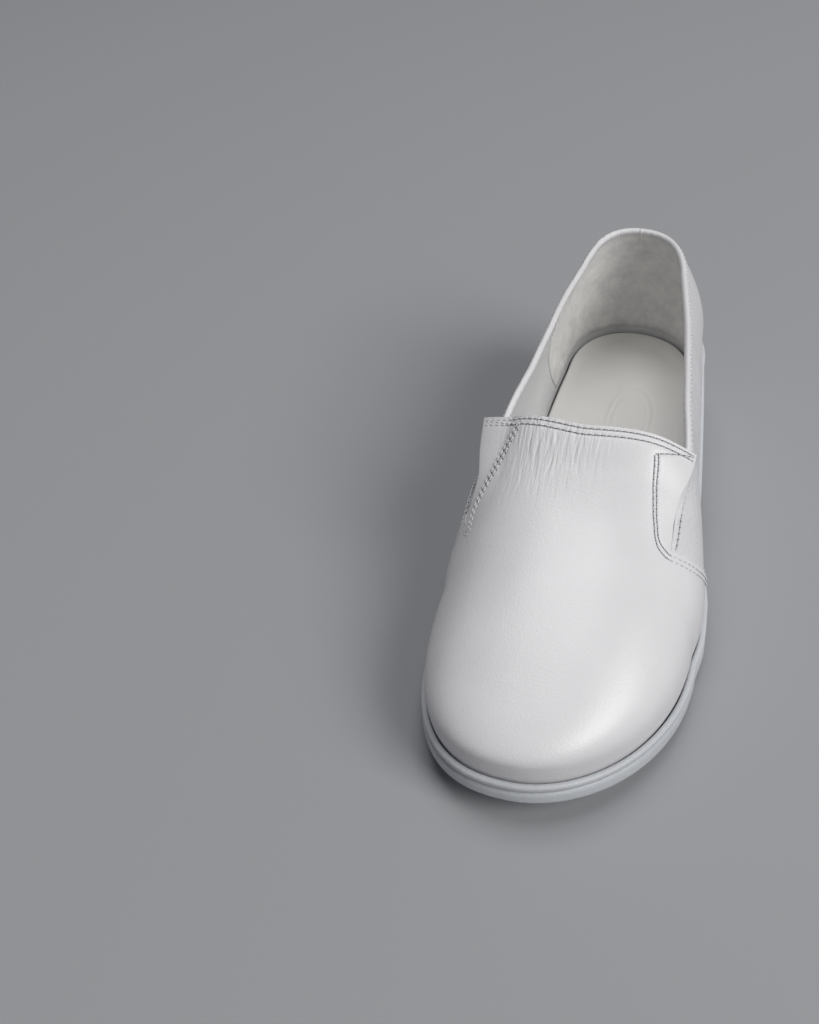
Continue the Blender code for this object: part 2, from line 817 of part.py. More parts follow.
def main():
    clear_scene()
    leather = add_material("upper_leather", (0.80, 0.79, 0.80), 0.38)
    rubber = add_material("sole_rubber", (0.58, 0.60, 0.63), 0.55)
    lining = add_material("insole_leather", (0.72, 0.70, 0.67), 0.50)
    elastic = add_material("gore_elastic", (0.45, 0.46, 0.50), 0.85)
    trim = add_material("binding_leather", (0.78, 0.77, 0.77), 0.42)
    shapes = [
        build_sole(rubber),
        build_upper(leather),
        build_insole(lining),
        build_gore("gore_inner", INNER, elastic),
        build_gore("gore_outer", OUTER, elastic),
        build_binding(trim),
    ]
    centre_on_floor(shapes)


main()
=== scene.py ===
from collections import namedtuple

import bpy
import numpy as np
from mathutils import Matrix


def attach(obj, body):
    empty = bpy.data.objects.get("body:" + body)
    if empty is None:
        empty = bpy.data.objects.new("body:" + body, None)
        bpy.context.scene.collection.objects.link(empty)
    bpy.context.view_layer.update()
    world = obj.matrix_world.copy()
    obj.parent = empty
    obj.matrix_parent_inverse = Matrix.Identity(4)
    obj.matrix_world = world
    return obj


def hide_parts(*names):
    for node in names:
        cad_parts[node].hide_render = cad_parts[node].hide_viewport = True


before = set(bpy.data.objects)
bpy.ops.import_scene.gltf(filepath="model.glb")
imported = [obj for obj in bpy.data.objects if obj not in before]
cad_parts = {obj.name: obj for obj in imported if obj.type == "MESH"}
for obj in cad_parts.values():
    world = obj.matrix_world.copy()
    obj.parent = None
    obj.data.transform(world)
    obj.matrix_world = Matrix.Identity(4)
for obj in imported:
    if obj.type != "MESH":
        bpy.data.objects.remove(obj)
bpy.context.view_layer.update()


# The camera. A close view of one shoe from in front of its toe and a little to its outer side,
# about 40 degrees above the floor and held a little rolled; the pinhole is given in pixels of
# the 819 by 1024 picture.

PICTURE_WIDTH = 819
PICTURE_HEIGHT = 1024
FOCAL_PIXELS = 1120.0
AZIMUTH = 8.575
ELEVATION = 41.061
ROLL = 2.316
DISTANCE = 0.4505
TARGET = np.array([-0.00089, -0.00058, 0.035])
TARGET_PIXEL = (592.06, 492.37)


def unit(arrows):
    """Each vector divided by its length."""
    return arrows / np.maximum(np.linalg.norm(arrows, axis=-1, keepdims=True), 1e-12)


def turn_between(start, end):
    """Rotation that takes one unit vector to another, about the line square to both."""
    skew = np.outer(end, start) - np.outer(start, end)
    return np.eye(3) + skew + skew @ skew / (1 + start @ end)


def camera_axes():
    """Right, up and back of the camera: turned by azimuth and elevation, rolled about the view
    line, then swung so that the target falls on its pixel and not on the picture's middle."""
    azimuth, elevation, roll = np.radians([AZIMUTH, ELEVATION, ROLL])
    level = np.array([np.cos(azimuth), np.sin(azimuth), 0.0])
    ahead = np.array([np.sin(azimuth), -np.cos(azimuth), 0.0])
    back = ahead * np.cos(elevation) + np.array([0.0, 0.0, np.sin(elevation)])
    upright = np.cross(back, level)
    right = level * np.cos(roll) + upright * np.sin(roll)
    up = upright * np.cos(roll) - level * np.sin(roll)
    axes = np.stack([right, up, back])
    off_x = (TARGET_PIXEL[0] - PICTURE_WIDTH / 2) / FOCAL_PIXELS
    off_y = (PICTURE_HEIGHT / 2 - TARGET_PIXEL[1]) / FOCAL_PIXELS
    swing = turn_between(np.array([0.0, 0.0, -1.0]), unit(np.array([off_x, off_y, -1.0])))
    return swing @ axes, back


view_axes, view_back = camera_axes()
camera_data = bpy.data.cameras.new("camera")
camera_data.sensor_fit = "VERTICAL"
camera_data.sensor_height = 36
camera_data.lens = 36 * FOCAL_PIXELS / PICTURE_HEIGHT
camera_data.clip_start = 0.01
camera = bpy.data.objects.new("camera", camera_data)
bpy.context.collection.objects.link(camera)
placement = Matrix(view_axes.T.tolist()).to_4x4()
placement.translation = (TARGET + view_back * DISTANCE).tolist()
camera.matrix_world = placement
bpy.context.scene.camera = camera


# The studio. A plain grey floor without a horizon, a broad soft light high on the right, a faint
# one in front of the shoe, one above it, and a weak cool surround.

FLOOR_HALF = 14.0
FLOOR_DROP = 0.0001
FLOOR_GREY = (0.365, 0.370, 0.385)


def new_material(name, colour, roughness):
    """A plain Principled material; returns it with its node tree and shader."""
    material = bpy.data.materials.new(name)
    material.use_nodes = True
    tree = material.node_tree
    shader = tree.nodes["Principled BSDF"]
    shader.inputs["Base Color"].default_value = (*colour, 1)
    shader.inputs["Roughness"].default_value = roughness
    material.diffuse_color = (*colour, 1)
    return material, tree, shader


def add_mesh(name, points, faces, material=None):
    """Mesh object with its place in its mesh, shaded smooth."""
    mesh = bpy.data.meshes.new(name)
    mesh.from_pydata(np.asarray(points).reshape(-1, 3).tolist(), [], np.asarray(faces).tolist())
    mesh.shade_smooth()
    piece = bpy.data.objects.new(name, mesh)
    bpy.context.collection.objects.link(piece)
    if material:
        mesh.materials.append(material)
    return piece


def add_area_light(name, place, size, power, colour):
    """Square soft light that faces the middle of the shoe."""
    light = bpy.data.lights.new(name, "AREA")
    light.shape = "SQUARE"
    light.size = size
    light.energy = power
    light.color = colour
    lamp = bpy.data.objects.new(name, light)
    bpy.context.collection.objects.link(lamp)
    back = unit(np.array(place) - np.array([0.0, 0.0, 0.03]))
    side = unit(np.cross([0.0, 0.0, 1.0], back) + np.array([1e-6, 0.0, 0.0]))
    turn = Matrix(np.stack([side, np.cross(back, side), back], 1).tolist()).to_4x4()
    turn.translation = place
    lamp.matrix_world = turn


floor_paper = new_material("floor_paper", FLOOR_GREY, 0.9)[0]
floor_corners = [[-1, -1, 0], [1, -1, 0], [1, 1, 0], [-1, 1, 0]]
floor_points = np.array(floor_corners) * FLOOR_HALF - np.array([0.0, 0.0, FLOOR_DROP])
floor = add_mesh("floor", floor_points, [[0, 1, 2, 3]], floor_paper)

add_area_light("key_light", (2.40, -1.00, 2.25), 1.8, 72.0, (1.0, 0.995, 0.98))
add_area_light("front_light", (1.9, -2.6, 1.7), 1.8, 2.6, (0.97, 0.97, 1.0))
add_area_light("top_light", (-0.20, 0.60, 3.05), 1.6, 33.0, (1.0, 1.0, 1.0))

world = bpy.data.worlds.new("surround")
bpy.context.scene.world = world
world.use_nodes = True
surround = world.node_tree.nodes["Background"]
surround.inputs["Color"].default_value = (0.80, 0.81, 0.88, 1)
surround.inputs["Strength"].default_value = 0.12
bpy.context.scene.view_settings.view_transform = "Standard"


# The sole. One wedge of foamed polyurethane moulded on to the upper: a cup with a rounded lip
# round the forefoot, a groove under the lip, a smooth high wedge at the heel, toe spring, an
# arch, and a tread of plain panels between grooves.

INNER = -1
OUTER = 1
SIDE_NAMES = {INNER: "inner", OUTER: "outer"}

LENGTH = 0.262
BALL_WIDTH = 0.097
INSTEP_HEIGHT = 0.075
COLLAR_HEIGHT = 0.088
RIM_HEIGHT = 0.0395
HEEL_SEAT = 0.0240
TOE_SPRING = 0.0085
ARCH_RISE = 0.0045
TOE_SHIFT = 0.0023
HEEL_RADIUS = 0.036
COLLAR_INSET = 0.0085
BOX_MIDDLE = np.array([0.002837, 0.131184, 0.0])

WALL = 0.0016
VAMP_STEP = 0.0010
FEATHER_TUCK = 0.0018
LIP_WIDTH = 0.0024
LIP_HEIGHT = 0.0026
LIP_GROOVE = 0.0012
GROOVE_HEIGHT = 0.0010
SOLE_EDGE_ROUND = 0.0030
HEEL_UNDERCUT = 0.0035
TREAD_BORDER = 0.0075
TREAD_DEPTH = 0.0013
TREAD_GROOVE = 0.0028
TREAD_ROWS = 300
TREAD_COLUMNS = 130
TREAD_SKIN = 0.0004
TREAD_OVERLAP = 0.0006
FIT_GAP = 0.0003

TIP = 0.010
FAN = 0.267
SLIT_END = 0.333
SEAM_FOOT = {INNER: 0.512, OUTER: 0.440}
THROAT = 0.455
CORNER = {INNER: 0.485, OUTER: 0.474}
HEEL_END = 0.9945
HEEL_FAN = HEEL_END - HEEL_RADIUS / LENGTH

TOE_ROUND = {INNER: 2.35, OUTER: 1.94}
HEEL_ROUND = 2.15
LOOP_TOE, LOOP_MIDDLE, LOOP_HEEL = 110, 120, 60

STEP_FADE = (0.002, 0.030)
LIP_FADE = (0.46, 0.55)
HEEL_TAPER = (0.90, 1.00)
ARCH_TO_COLLAR = (0.43, 0.57)

Width = namedtuple("Width", "along inner outer")
WIDTHS = (
    Width(0.267, 0.441, 0.498),
    Width(0.320, 0.456, 0.515),
    Width(0.382, 0.454, 0.508),
    Width(0.458, 0.421, 0.472),
    Width(0.534, 0.374, 0.439),
    Width(0.611, 0.342, 0.417),
    Width(0.687, 0.330, 0.395),
    Width(0.763, 0.324, 0.372),
    Width(0.863, 0.303, 0.340),
)

Ridge = namedtuple("Ridge", "along height roundness")
RIDGE = (
    Ridge(0.000, 0.495, 2.35),
    Ridge(0.115, 0.580, 2.35),
    Ridge(0.229, 0.682, 2.35),
    Ridge(0.320, 0.782, 2.40),
    Ridge(0.400, 0.910, 2.65),
    Ridge(0.450, 1.015, 2.95),
    Ridge(0.520, 1.140, 3.00),
    Ridge(0.600, 1.290, 3.00),
)

Base = namedtuple("Base", "along seat rim bulge")
BASES = (
    Base(0.000, 0.640, 0.480, 0.200),
    Base(0.115, 0.480, 0.385, 0.170),
    Base(0.229, 0.395, 0.330, 0.160),
    Base(0.382, 0.390, 0.320, 0.160),
    Base(0.470, 0.430, 0.365, 0.190),
    Base(0.525, 0.490, 0.440, 0.240),
    Base(0.592, 0.610, 0.565, 0.270),
    Base(0.687, 0.765, 0.725, 0.300),
    Base(0.802, 0.900, 0.875, 0.330),
    Base(0.916, 0.980, 0.975, 0.350),
    Base(1.000, 1.000, 1.000, 0.360),
)

Collar = namedtuple("Collar", "along inner_height outer_height inner_inset outer_inset")
COLLARS = (
    Collar(0.267, 0.530, 0.530, 0.71, 0.78),
    Collar(0.344, 0.525, 0.585, 0.66, 0.76),
    Collar(0.410, 0.638, 0.668, 0.60, 0.79),
    Collar(0.484, 0.752, 0.751, 0.57, 0.80),
    Collar(0.515, 0.792, 0.784, 0.56, 0.83),
    Collar(0.611, 0.849, 0.835, 0.59, 0.89),
    Collar(0.725, 0.892, 0.875, 0.76, 0.95),
    Collar(0.840, 0.928, 0.919, 1.06, 1.16),
    Collar(0.935, 0.968, 0.967, 1.32, 1.38),
    Collar(1.000, 0.990, 0.990, 1.30, 1.30),
)

Run = namedtuple("Run", "along across")
LONG_GROOVE = (
    Run(0.100, -0.03),
    Run(0.190, 0.02),
    Run(0.270, 0.03),
    Run(0.350, 0.02),
    Run(0.420, -0.01),
    Run(0.490, -0.06),
    Run(0.620, -0.09),
    Run(0.760, -0.10),
    Run(0.880, -0.10),
)
HEEL_GROOVE = (Run(0.600, 0.12), Run(0.700, 0.13), Run(0.790, 0.12), Run(0.880, 0.10))

Cross = namedtuple("Cross", "along inner_lean outer_lean")
CROSS_GROOVES = (
    Cross(0.110, 0.035, 0.075),
    Cross(0.188, 0.030, 0.070),
    Cross(0.268, 0.022, 0.065),
    Cross(0.348, 0.012, 0.055),
    Cross(0.420, 0.005, 0.040),
    Cross(0.488, 0.000, 0.030),
    Cross(0.615, -0.010, 0.010),
    Cross(0.700, -0.015, 0.000),
    Cross(0.785, -0.015, 0.000),
    Cross(0.865, -0.015, 0.000),
)


def follow(table, column, along):
    """Smooth monotone curve through one column of a table: cubic pieces whose slope at each row
    is the harmonic mean of the slopes on both sides, or level where they change sign."""
    x = np.array([row.along for row in table])
    y = np.array([getattr(row, column) for row in table])
    along = np.clip(np.asarray(along, float), x[0], x[-1])
    slope = np.diff(y) / np.diff(x)
    product = slope[:-1] * slope[1:]
    pair = np.where(product > 0, slope[:-1] + slope[1:], np.inf)
    tangent = np.concatenate([slope[:1], 2 * product / pair, slope[-1:]])
    i = np.clip(np.searchsorted(x, along) - 1, 0, len(x) - 2)
    step = x[i + 1] - x[i]
    u = (along - x[i]) / step
    ends = (2 * u**3 - 3 * u**2 + 1) * y[i] + (3 * u**2 - 2 * u**3) * y[i + 1]
    return ends + step * ((u**3 - 2 * u**2 + u) * tangent[i] + (u**3 - u**2) * tangent[i + 1])


def ease(value, low, high):
    """0 below `low`, 1 above `high`, 3u^2 - 2u^3 between."""
    u = np.clip((value - low) / (high - low), 0, 1)
    return u * u * (3 - 2 * u)


def station_of(along):
    """Station of a place in the middle stretch: toe fan 0..1, middle 1..2, heel fan 2..3."""
    return 1 + (along - FAN) / (HEEL_FAN - FAN)


def outline(side, station):
    """Half width, place and ray centre of a station. Toe and heel are quarter superellipses:
    the half width is the table's times sine to 2/n, the place moves by cosine to 2/n."""
    station = np.asarray(station, float)
    toe_power = 2 / TOE_ROUND[side]
    heel_power = 2 / HEEL_ROUND
    toe = np.clip(station, 0, 1) * np.pi / 2
    heel = np.clip(station - 2, 0, 1) * np.pi / 2
    along = FAN + (HEEL_FAN - FAN) * np.clip(station - 1, 0, 1)
    centre = along.copy()
    width = BALL_WIDTH * follow(WIDTHS, SIDE_NAMES[side], along)
    width = width * np.sin(toe) ** toe_power * np.clip(np.cos(heel), 0, 1) ** heel_power
    along = along - (FAN - TIP) * np.clip(np.cos(toe), 0, 1) ** toe_power
    along = along + (HEEL_END - HEEL_FAN) * np.sin(heel) ** heel_power
    return width, along, centre


def rim_height(along):
    """Top of the sole's lip above the floor."""
    return RIM_HEIGHT * follow(BASES, "rim", along)


def seat_height(along):
    """Inside bottom of the sole's cup above the floor."""
    return HEEL_SEAT * follow(BASES, "seat", along)


def bulge_height(along):
    """Where the upper's wall is widest."""
    return rim_height(along) + RIM_HEIGHT * follow(BASES, "bulge", along)


def ridge_height(along):
    """Top line of the vamp's arch."""
    return INSTEP_HEIGHT * follow(RIDGE, "height", along)


def collar_height(side, along):
    """Top edge of the quarter, which runs on forward as the lower edge of the slit."""
    return COLLAR_HEIGHT * follow(COLLARS, SIDE_NAMES[side] + "_height", along)


def ground_height(along):
    """Tread above the floor: level under ball and heel, a power curve up at the toe, an arch."""
    along = np.asarray(along, float)
    spring = TOE_SPRING * np.clip((0.26 - along) / 0.26, 0, 1) ** 1.8
    arch = ARCH_RISE * ease(along, 0.49, 0.57) * (1 - ease(along, 0.60, 0.74))
    back = 0.25 * TOE_SPRING * ease(along, 0.955, 1.01)
    return spring + arch + back


def placed(side, width, along, centre, share, height):
    """Points `share` of the way out along the rays; the toe swings inward with the square of
    its distance from the fan centre. The result is in the shoe's own frame."""
    x = side * width * share
    place = centre + (along - centre) * share
    swing = TOE_SHIFT * np.clip((FAN - place) / FAN, 0, 1) ** 2
    return np.stack(np.broadcast_arrays(x - swing, place * LENGTH, height), -1) - BOX_MIDDLE


def wall_share(side, station, height):
    """Share of the half width at which the wall lies at a height: a superellipse arch in front,
    a lean to the collar behind, eased into each other, and a small tuck below the bulge."""
    width, along, centre = outline(side, station)
    reach = np.hypot(width, (along - centre) * LENGTH)
    low = bulge_height(along)
    roundness = follow(RIDGE, "roundness", along)
    rise = np.clip((height - low) / (ridge_height(along) - low), 0, 1)
    front = (1 - rise**roundness) ** (1 / roundness)
    inset = COLLAR_INSET * follow(COLLARS, SIDE_NAMES[side] + "_inset", along)
    lean = np.clip((height - low) / (collar_height(side, along) - low), 0, 1.2)
    rear = 1 - inset * lean**1.7 / reach
    back = ease(along, *ARCH_TO_COLLAR)
    above = (1 - back) * front + back * rear
    drop = np.clip((low - height) / (low - seat_height(along)), 0, 1)
    below = 1 - FEATHER_TUCK * drop**2 / reach
    return np.where(height > low, above, below)


def wall_point(side, station, height):
    """Point of the upper's wall at a station and a height."""
    width, along, centre = outline(side, station)
    return placed(side, width, along, centre, wall_share(side, station, height), height)


def grid_faces(rows, columns, closed=False, first=0):
    """Quads of a grid of points counted row by row; a closed grid joins its last column to the
    first."""
    i, j = np.meshgrid(np.arange(rows - 1), np.arange(columns - (not closed)), indexing="ij")
    k = (j + 1) % columns
    row = i * columns
    quads = np.stack([row + j, row + k, row + columns + k, row + columns + j], -1)
    return quads.reshape(-1, 4) + first


def loop_places():
    """Each side and its stations round the shoe: toe to heel outside, then back inside."""
    toe = np.linspace(0, 1, LOOP_TOE + 1)[:-1]
    middle = np.linspace(1, 2, LOOP_MIDDLE + 1)[:-1]
    heel = np.linspace(2, 3, LOOP_HEEL + 1)
    one_side = np.concatenate([toe, middle, heel])
    return (OUTER, one_side), (INNER, one_side[-2:0:-1])


def all_round(surface):
    """Rows of a surface of (side, stations) carried round the whole shoe."""
    return np.concatenate([surface(side, stations) for side, stations in loop_places()], 1)


Edge = namedtuple("Edge", "inward drop")
LIP_ROWS = (
    Edge(1.00, 0.45),
    Edge(0.90, 0.10),
    Edge(0.70, 0.00),
    Edge(0.42, 0.00),
    Edge(0.16, 0.07),
    Edge(0.03, 0.22),
    Edge(0.00, 0.42),
)
GROOVE_ROWS = (
    Edge(0.05, -0.65),
    Edge(0.25, 0.00),
    Edge(0.80, 0.15),
    Edge(1.00, 0.50),
    Edge(1.00, 0.90),
    Edge(0.55, 1.25),
)


def sole_side_profile(side, station):
    """Section of the sole at stations of one side: the cup's floor and wall, the lip and groove
    by their tables, a straight sidewall, an elliptical bottom edge and the tread's border."""
    width, along, centre = outline(side, station)
    reach = np.hypot(width, (along - centre) * LENGTH)
    seat = seat_height(along)
    rim = rim_height(along)
    ground = ground_height(along)
    front = 1 - ease(along, *LIP_FADE)
    step = VAMP_STEP * (1 - ease(along - SEAM_FOOT[side], *STEP_FADE))
    undercut = HEEL_UNDERCUT * ease(along, *HEEL_TAPER)
    wall_low = reach * wall_share(side, station, seat) + step + FIT_GAP
    wall_high = reach * wall_share(side, station, rim) + step + FIT_GAP
    lip = wall_high + LIP_WIDTH
    groove = LIP_GROOVE * front
    below = rim - LIP_HEIGHT
    edge_round = SOLE_EDGE_ROUND * (0.5 + 0.5 * front)
    foot = lip - edge_round - undercut
    border = ground + TREAD_DEPTH
    middle = 0.5 * (below - GROOVE_HEIGHT + ground)
    belt = below - 1.7 * GROOVE_HEIGHT
    swell = 0.1 * LIP_WIDTH * front - 0.4 * undercut
    rows = [(0.5 * wall_low, seat), (wall_low, seat)]
    for row in LIP_ROWS:
        rows.append((lip - row.inward * LIP_WIDTH, rim - row.drop * LIP_HEIGHT))
    for row in GROOVE_ROWS:
        rows.append((lip - row.inward * groove, below - row.drop * GROOVE_HEIGHT))
    rows.append((lip - 0.15 * groove - 0.08 * undercut, belt))
    for share in (0.15, 0.35, 0.55, 0.78, 1.0):
        rows.append((lip + swell * share, belt + (middle - belt) * share))
    for turn in np.radians([18, 36, 54, 70, 82, 90]):
        out = foot + (lip + swell - foot) * np.cos(turn) ** 0.8
        rows.append((out, border + (middle - border) * (1 - np.sin(turn))))
    rows.append((foot - 0.3 * TREAD_BORDER, border))
    share = np.array([row[0] for row in rows]) / reach
    height = np.array([row[1] for row in rows])
    height[0] = seat_height(centre + (along - centre) * share[0])
    return placed(side, width, along, centre, share, height)


def groove_floor(table, x, along):
    """How far inside a lengthwise groove a place is, in metres: negative outside it."""
    inside = (along > table[0].along) & (along < table[-1].along)
    distance = np.abs(x - BALL_WIDTH * follow(table, "across", along))
    return np.where(inside, TREAD_GROOVE / 2 - distance, -1.0)


def cross_floor(groove, x, along):
    """The same for a cross groove, whose line leans to the toe with its distance out to 1.6."""
    start = BALL_WIDTH * float(follow(LONG_GROOVE, "across", groove.along))
    side = np.sign(x - start)
    edge = side * 0.56 * BALL_WIDTH
    share = np.clip((x - start) / (edge - start + 1e-9), 0, 1)
    lean = np.where(side > 0, groove.outer_lean, groove.inner_lean)
    line = groove.along - lean * share**1.6
    return TREAD_GROOVE / 2 - np.abs(along - line) * LENGTH


def tread_surface():
    """Underside on a grid of places along and across. It lies on the ground curve, or one tread
    depth above it in the border and the grooves, with an eased edge a millimetre wide."""
    station = np.linspace(0, 3, 1200)
    borders = [sole_side_profile(side, station)[-1] + BOX_MIDDLE for side in (INNER, OUTER)]
    sorted_borders = [border[np.argsort(border[:, 1])] for border in borders]
    low = max(border[0, 1] for border in sorted_borders)
    high = min(border[-1, 1] for border in sorted_borders)
    turn = np.linspace(0, np.pi, TREAD_ROWS)[:, None]
    y = (low + high) / 2 - (high - low) / 2 * (0.8 * np.cos(turn) + 0.2 * (1 - 2 * turn / np.pi))
    left, right = (np.interp(y, border[:, 1], border[:, 0]) for border in sorted_borders)
    x = left + (right - left) * np.linspace(0, 1, TREAD_COLUMNS)
    y = y + 0 * x
    along = y / LENGTH
    edge = np.full(x.shape, 1.0)
    for place in np.concatenate([border[::6] for border in borders]):
        edge = np.minimum(edge, np.hypot(x - place[0], y - place[1]))
    hollow = 0.7 * TREAD_BORDER - edge
    hollow = np.maximum(hollow, groove_floor(LONG_GROOVE, x, along))
    hollow = np.maximum(hollow, groove_floor(HEEL_GROOVE, x, along))
    for groove in CROSS_GROOVES:
        hollow = np.maximum(hollow, cross_floor(groove, x, along))
    raised = ease(hollow, -0.0005, 0.0005)
    rim = np.clip(1 - edge / 0.0015, 0, 1)
    z = ground_height(along) + TREAD_DEPTH * np.maximum(raised, rim)
    return np.stack([x, y, z], -1) - BOX_MIDDLE


def add_node(tree, kind, inputs, **settings):
    """Shader node with its settings; an input is a value or the output that feeds it."""
    node = tree.nodes.new("ShaderNode" + kind)
    for name, value in settings.items():
        setattr(node, name, value)
    for socket, value in inputs.items():
        if isinstance(value, bpy.types.NodeSocket):
            tree.links.new(value, node.inputs[socket])
        else:
            node.inputs[socket].default_value = value
    return node


def own_place(tree):
    """Place in the shoe's own frame."""
    return add_node(tree, "TexCoord", {}).outputs["Object"]


def noise(tree, place, scale, detail, **more):
    """Cloudy noise."""
    inputs = {"Vector": place, "Scale": scale, "Detail": detail, **more}
    return add_node(tree, "TexNoise", inputs).outputs["Fac"]


def cells(tree, place, scale, smoothness):
    """Distance to the nearest of many scattered points, with soft borders between them."""
    inputs = {"Vector": place, "Scale": scale, "Smoothness": smoothness}
    return add_node(tree, "TexVoronoi", inputs, feature="SMOOTH_F1").outputs["Distance"]


def tint_by(tree, shader, factor, low, high):
    """Base colour that runs between two ends, each a position of the factor and its colour."""
    tint = add_node(tree, "ValToRGB", {"Fac": factor})
    for end, (position, colour) in zip(tint.color_ramp.elements, (low, high)):
        end.position = position
        end.color = (*colour, 1)
    tree.links.new(tint.outputs["Color"], shader.inputs["Base Color"])


def bump_by(tree, shader, height, strength, distance, **more):
    """Relief of the surface that follows a height."""
    inputs = {"Height": height, "Strength": strength, "Distance": distance, **more}
    bump = add_node(tree, "Bump", inputs)
    tree.links.new(bump.outputs["Normal"], shader.inputs["Normal"])


def sole_rubber_material():
    """Foamed polyurethane: cool light grey, satin, a fine pebble pressed in by the mould, and a
    little grey dirt in soft patches."""
    material, tree, shader = new_material("sole_rubber", (0.58, 0.60, 0.63), 0.46)
    place = own_place(tree)
    dirt = noise(tree, place, 22, 5)
    tint_by(tree, shader, dirt, (0.35, (0.575, 0.595, 0.625)), (0.70, (0.635, 0.655, 0.685)))
    bump_by(tree, shader, cells(tree, place, 900, 0.6), 0.28, 0.0004)
    return material


def middle_line(level, lift):
    """Row of points on the shoe's middle line at each ray's start, at a level of its place."""
    stations = np.concatenate([one_side for _, one_side in loop_places()])
    centre = outline(OUTER, stations)[2]
    return placed(OUTER, 0 * centre, centre, centre, 0 * centre, level(centre) + lift)[None]


sole_rubber = sole_rubber_material()
sole_top = middle_line(seat_height, 0.0)
sole_bottom = middle_line(ground_height, TREAD_DEPTH + TREAD_OVERLAP)
sole_rows = np.concatenate([sole_top, all_round(sole_side_profile), sole_bottom])
sole_quads = grid_faces(*sole_rows.shape[:2], closed=True)[:, ::-1]
sole_piece = add_mesh("sole_unit", sole_rows, sole_quads, sole_rubber)
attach(sole_piece, "root")
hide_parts("sole")

tread_quads = grid_faces(TREAD_ROWS, TREAD_COLUMNS)[:, ::-1]
tread_piece = add_mesh("sole_tread", tread_surface(), tread_quads, sole_rubber)
tread_skin = tread_piece.modifiers.new("skin", "SOLIDIFY")
tread_skin.thickness = TREAD_SKIN
tread_skin.offset = -1
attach(tread_piece, "root")


# The insole. A loose sock of lining leather on thin foam, rounded at the heel and a little
# dished at its edge, with a plain oval pressed into its heel.

INSOLE_THICKNESS = 0.0030
INSOLE_CUP = 0.0020
INSOLE_ROUND = 0.0010
INSOLE_SIDE_DROP = 0.0022
INSOLE_UNDER_DROP = 0.0027
LINING_ROOM = 0.0001
COUNTER_ROOM = 0.0006
INSOLE_SHARES = np.concatenate([np.linspace(0, 0.9, 72), np.linspace(0.92, 1.0, 8)])[:, None]
OVAL_MIDDLE = (0.0045, 0.0640)
OVAL_HALF = (0.0098, 0.0218)
OVAL_DEPTH = 0.00035


def bell(distance):
    """1 at no distance, falling as e to minus its square."""
    return np.exp(-(distance**2))


def insole_surface(side, station):
    """Top of the insole: the seat plus its thickness, raised towards the edge, and lowered in
    two thin oval lines."""
    width, along, centre = outline(side, station)
    reach = np.hypot(width, (along - centre) * LENGTH)
    lining = WALL + LINING_ROOM + COUNTER_ROOM * ease(along, 0.70, 0.78)
    edge = reach * wall_share(side, station, seat_height(along)) - lining
    share = INSOLE_SHARES * edge / reach
    place = centre + (along - centre) * share
    cup = INSOLE_CUP * ease(along, 0.45, 0.80) * ease(INSOLE_SHARES, 0.72, 1.0)
    level = seat_height(place) + FIT_GAP + INSOLE_THICKNESS + cup
    level = level - INSOLE_ROUND * ease(INSOLE_SHARES, 0.965, 1.0)
    points = placed(side, width, along, centre, share, level)
    oval = np.linalg.norm((points[..., :2] - OVAL_MIDDLE) / OVAL_HALF, axis=-1)
    points[..., 2] -= OVAL_DEPTH * (bell((oval - 1) / 0.07) + 0.7 * bell((oval - 0.74) / 0.06))
    return points


def soft_leather_material(name, colours, roughness, grain, strength, depth, coat=0.0):
    """Leather: noise over the tint, a cellular grain with a finer one in it as bump, and a
    roughness that drifts a little."""
    material, tree, shader = new_material(name, colours[1], roughness)
    place = own_place(tree)
    cloud = noise(tree, place, 28, 6)
    tint_by(tree, shader, cloud, (0.30, colours[0]), (0.72, colours[1]))
    relief = {0: noise(tree, place, grain * 1.7, 4), 1: 0.5, 2: cells(tree, place, grain, 0.5)}
    relief = add_node(tree, "Math", relief, operation="MULTIPLY_ADD").outputs["Value"]
    bump_by(tree, shader, relief, strength, depth)
    drift = {"Value": cloud, "To Min": roughness - 0.05, "To Max": roughness + 0.06}
    drift = add_node(tree, "MapRange", drift).outputs["Result"]
    tree.links.new(drift, shader.inputs["Roughness"])
    shader.inputs["Coat Weight"].default_value = coat
    shader.inputs["Coat Roughness"].default_value = 0.35
    return material


insole_leather = soft_leather_material(
    "insole_leather", ((0.88, 0.87, 0.84), (0.93, 0.92, 0.89)), 0.52, 1100, 0.15, 0.0003
)
insole_top = all_round(insole_surface)
insole_side = insole_top[-1:] - np.array([0.0, 0.0, INSOLE_SIDE_DROP])
insole_under = insole_top[:1] - np.array([0.0, 0.0, INSOLE_UNDER_DROP])
insole_rows = np.concatenate([insole_top, insole_side, insole_under])
insole_quads = grid_faces(*insole_rows.shape[:2], closed=True)[:, ::-1]
insole_piece = add_mesh("insole_sock", insole_rows, insole_quads, insole_leather)
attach(insole_piece, "root")
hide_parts("insole")


# The quarters. Two panels of grained white leather joined at the back of the heel and tucked
# under the vamp in front; both are creased up and down where the shoe bends, the outer one more.

QUARTER_LEATHER = 0.0010
QUARTER_TUCK = 0.024
QUARTER_BELOW = np.linspace(0, 1, 12)[:-1]
QUARTER_ABOVE = np.linspace(0, 1, 46)
FEATHER_GAP = 0.0007
SEAM_CURVE = {INNER: 2.5, OUTER: 0.5}


def rear_stations(side):
    """Stations of the quarter at the sole and at the top edge: upright at the heel, leaning
    forward with the square of the way to the seam. It is tucked a little under the vamp."""
    share = np.linspace(0, 1, 150)
    seam = station_of(SEAM_FOOT[side])
    start = seam - QUARTER_TUCK
    foot = start + (3 - start) * share
    return foot, foot - (seam - station_of(SLIT_END)) * (1 - share) ** 2


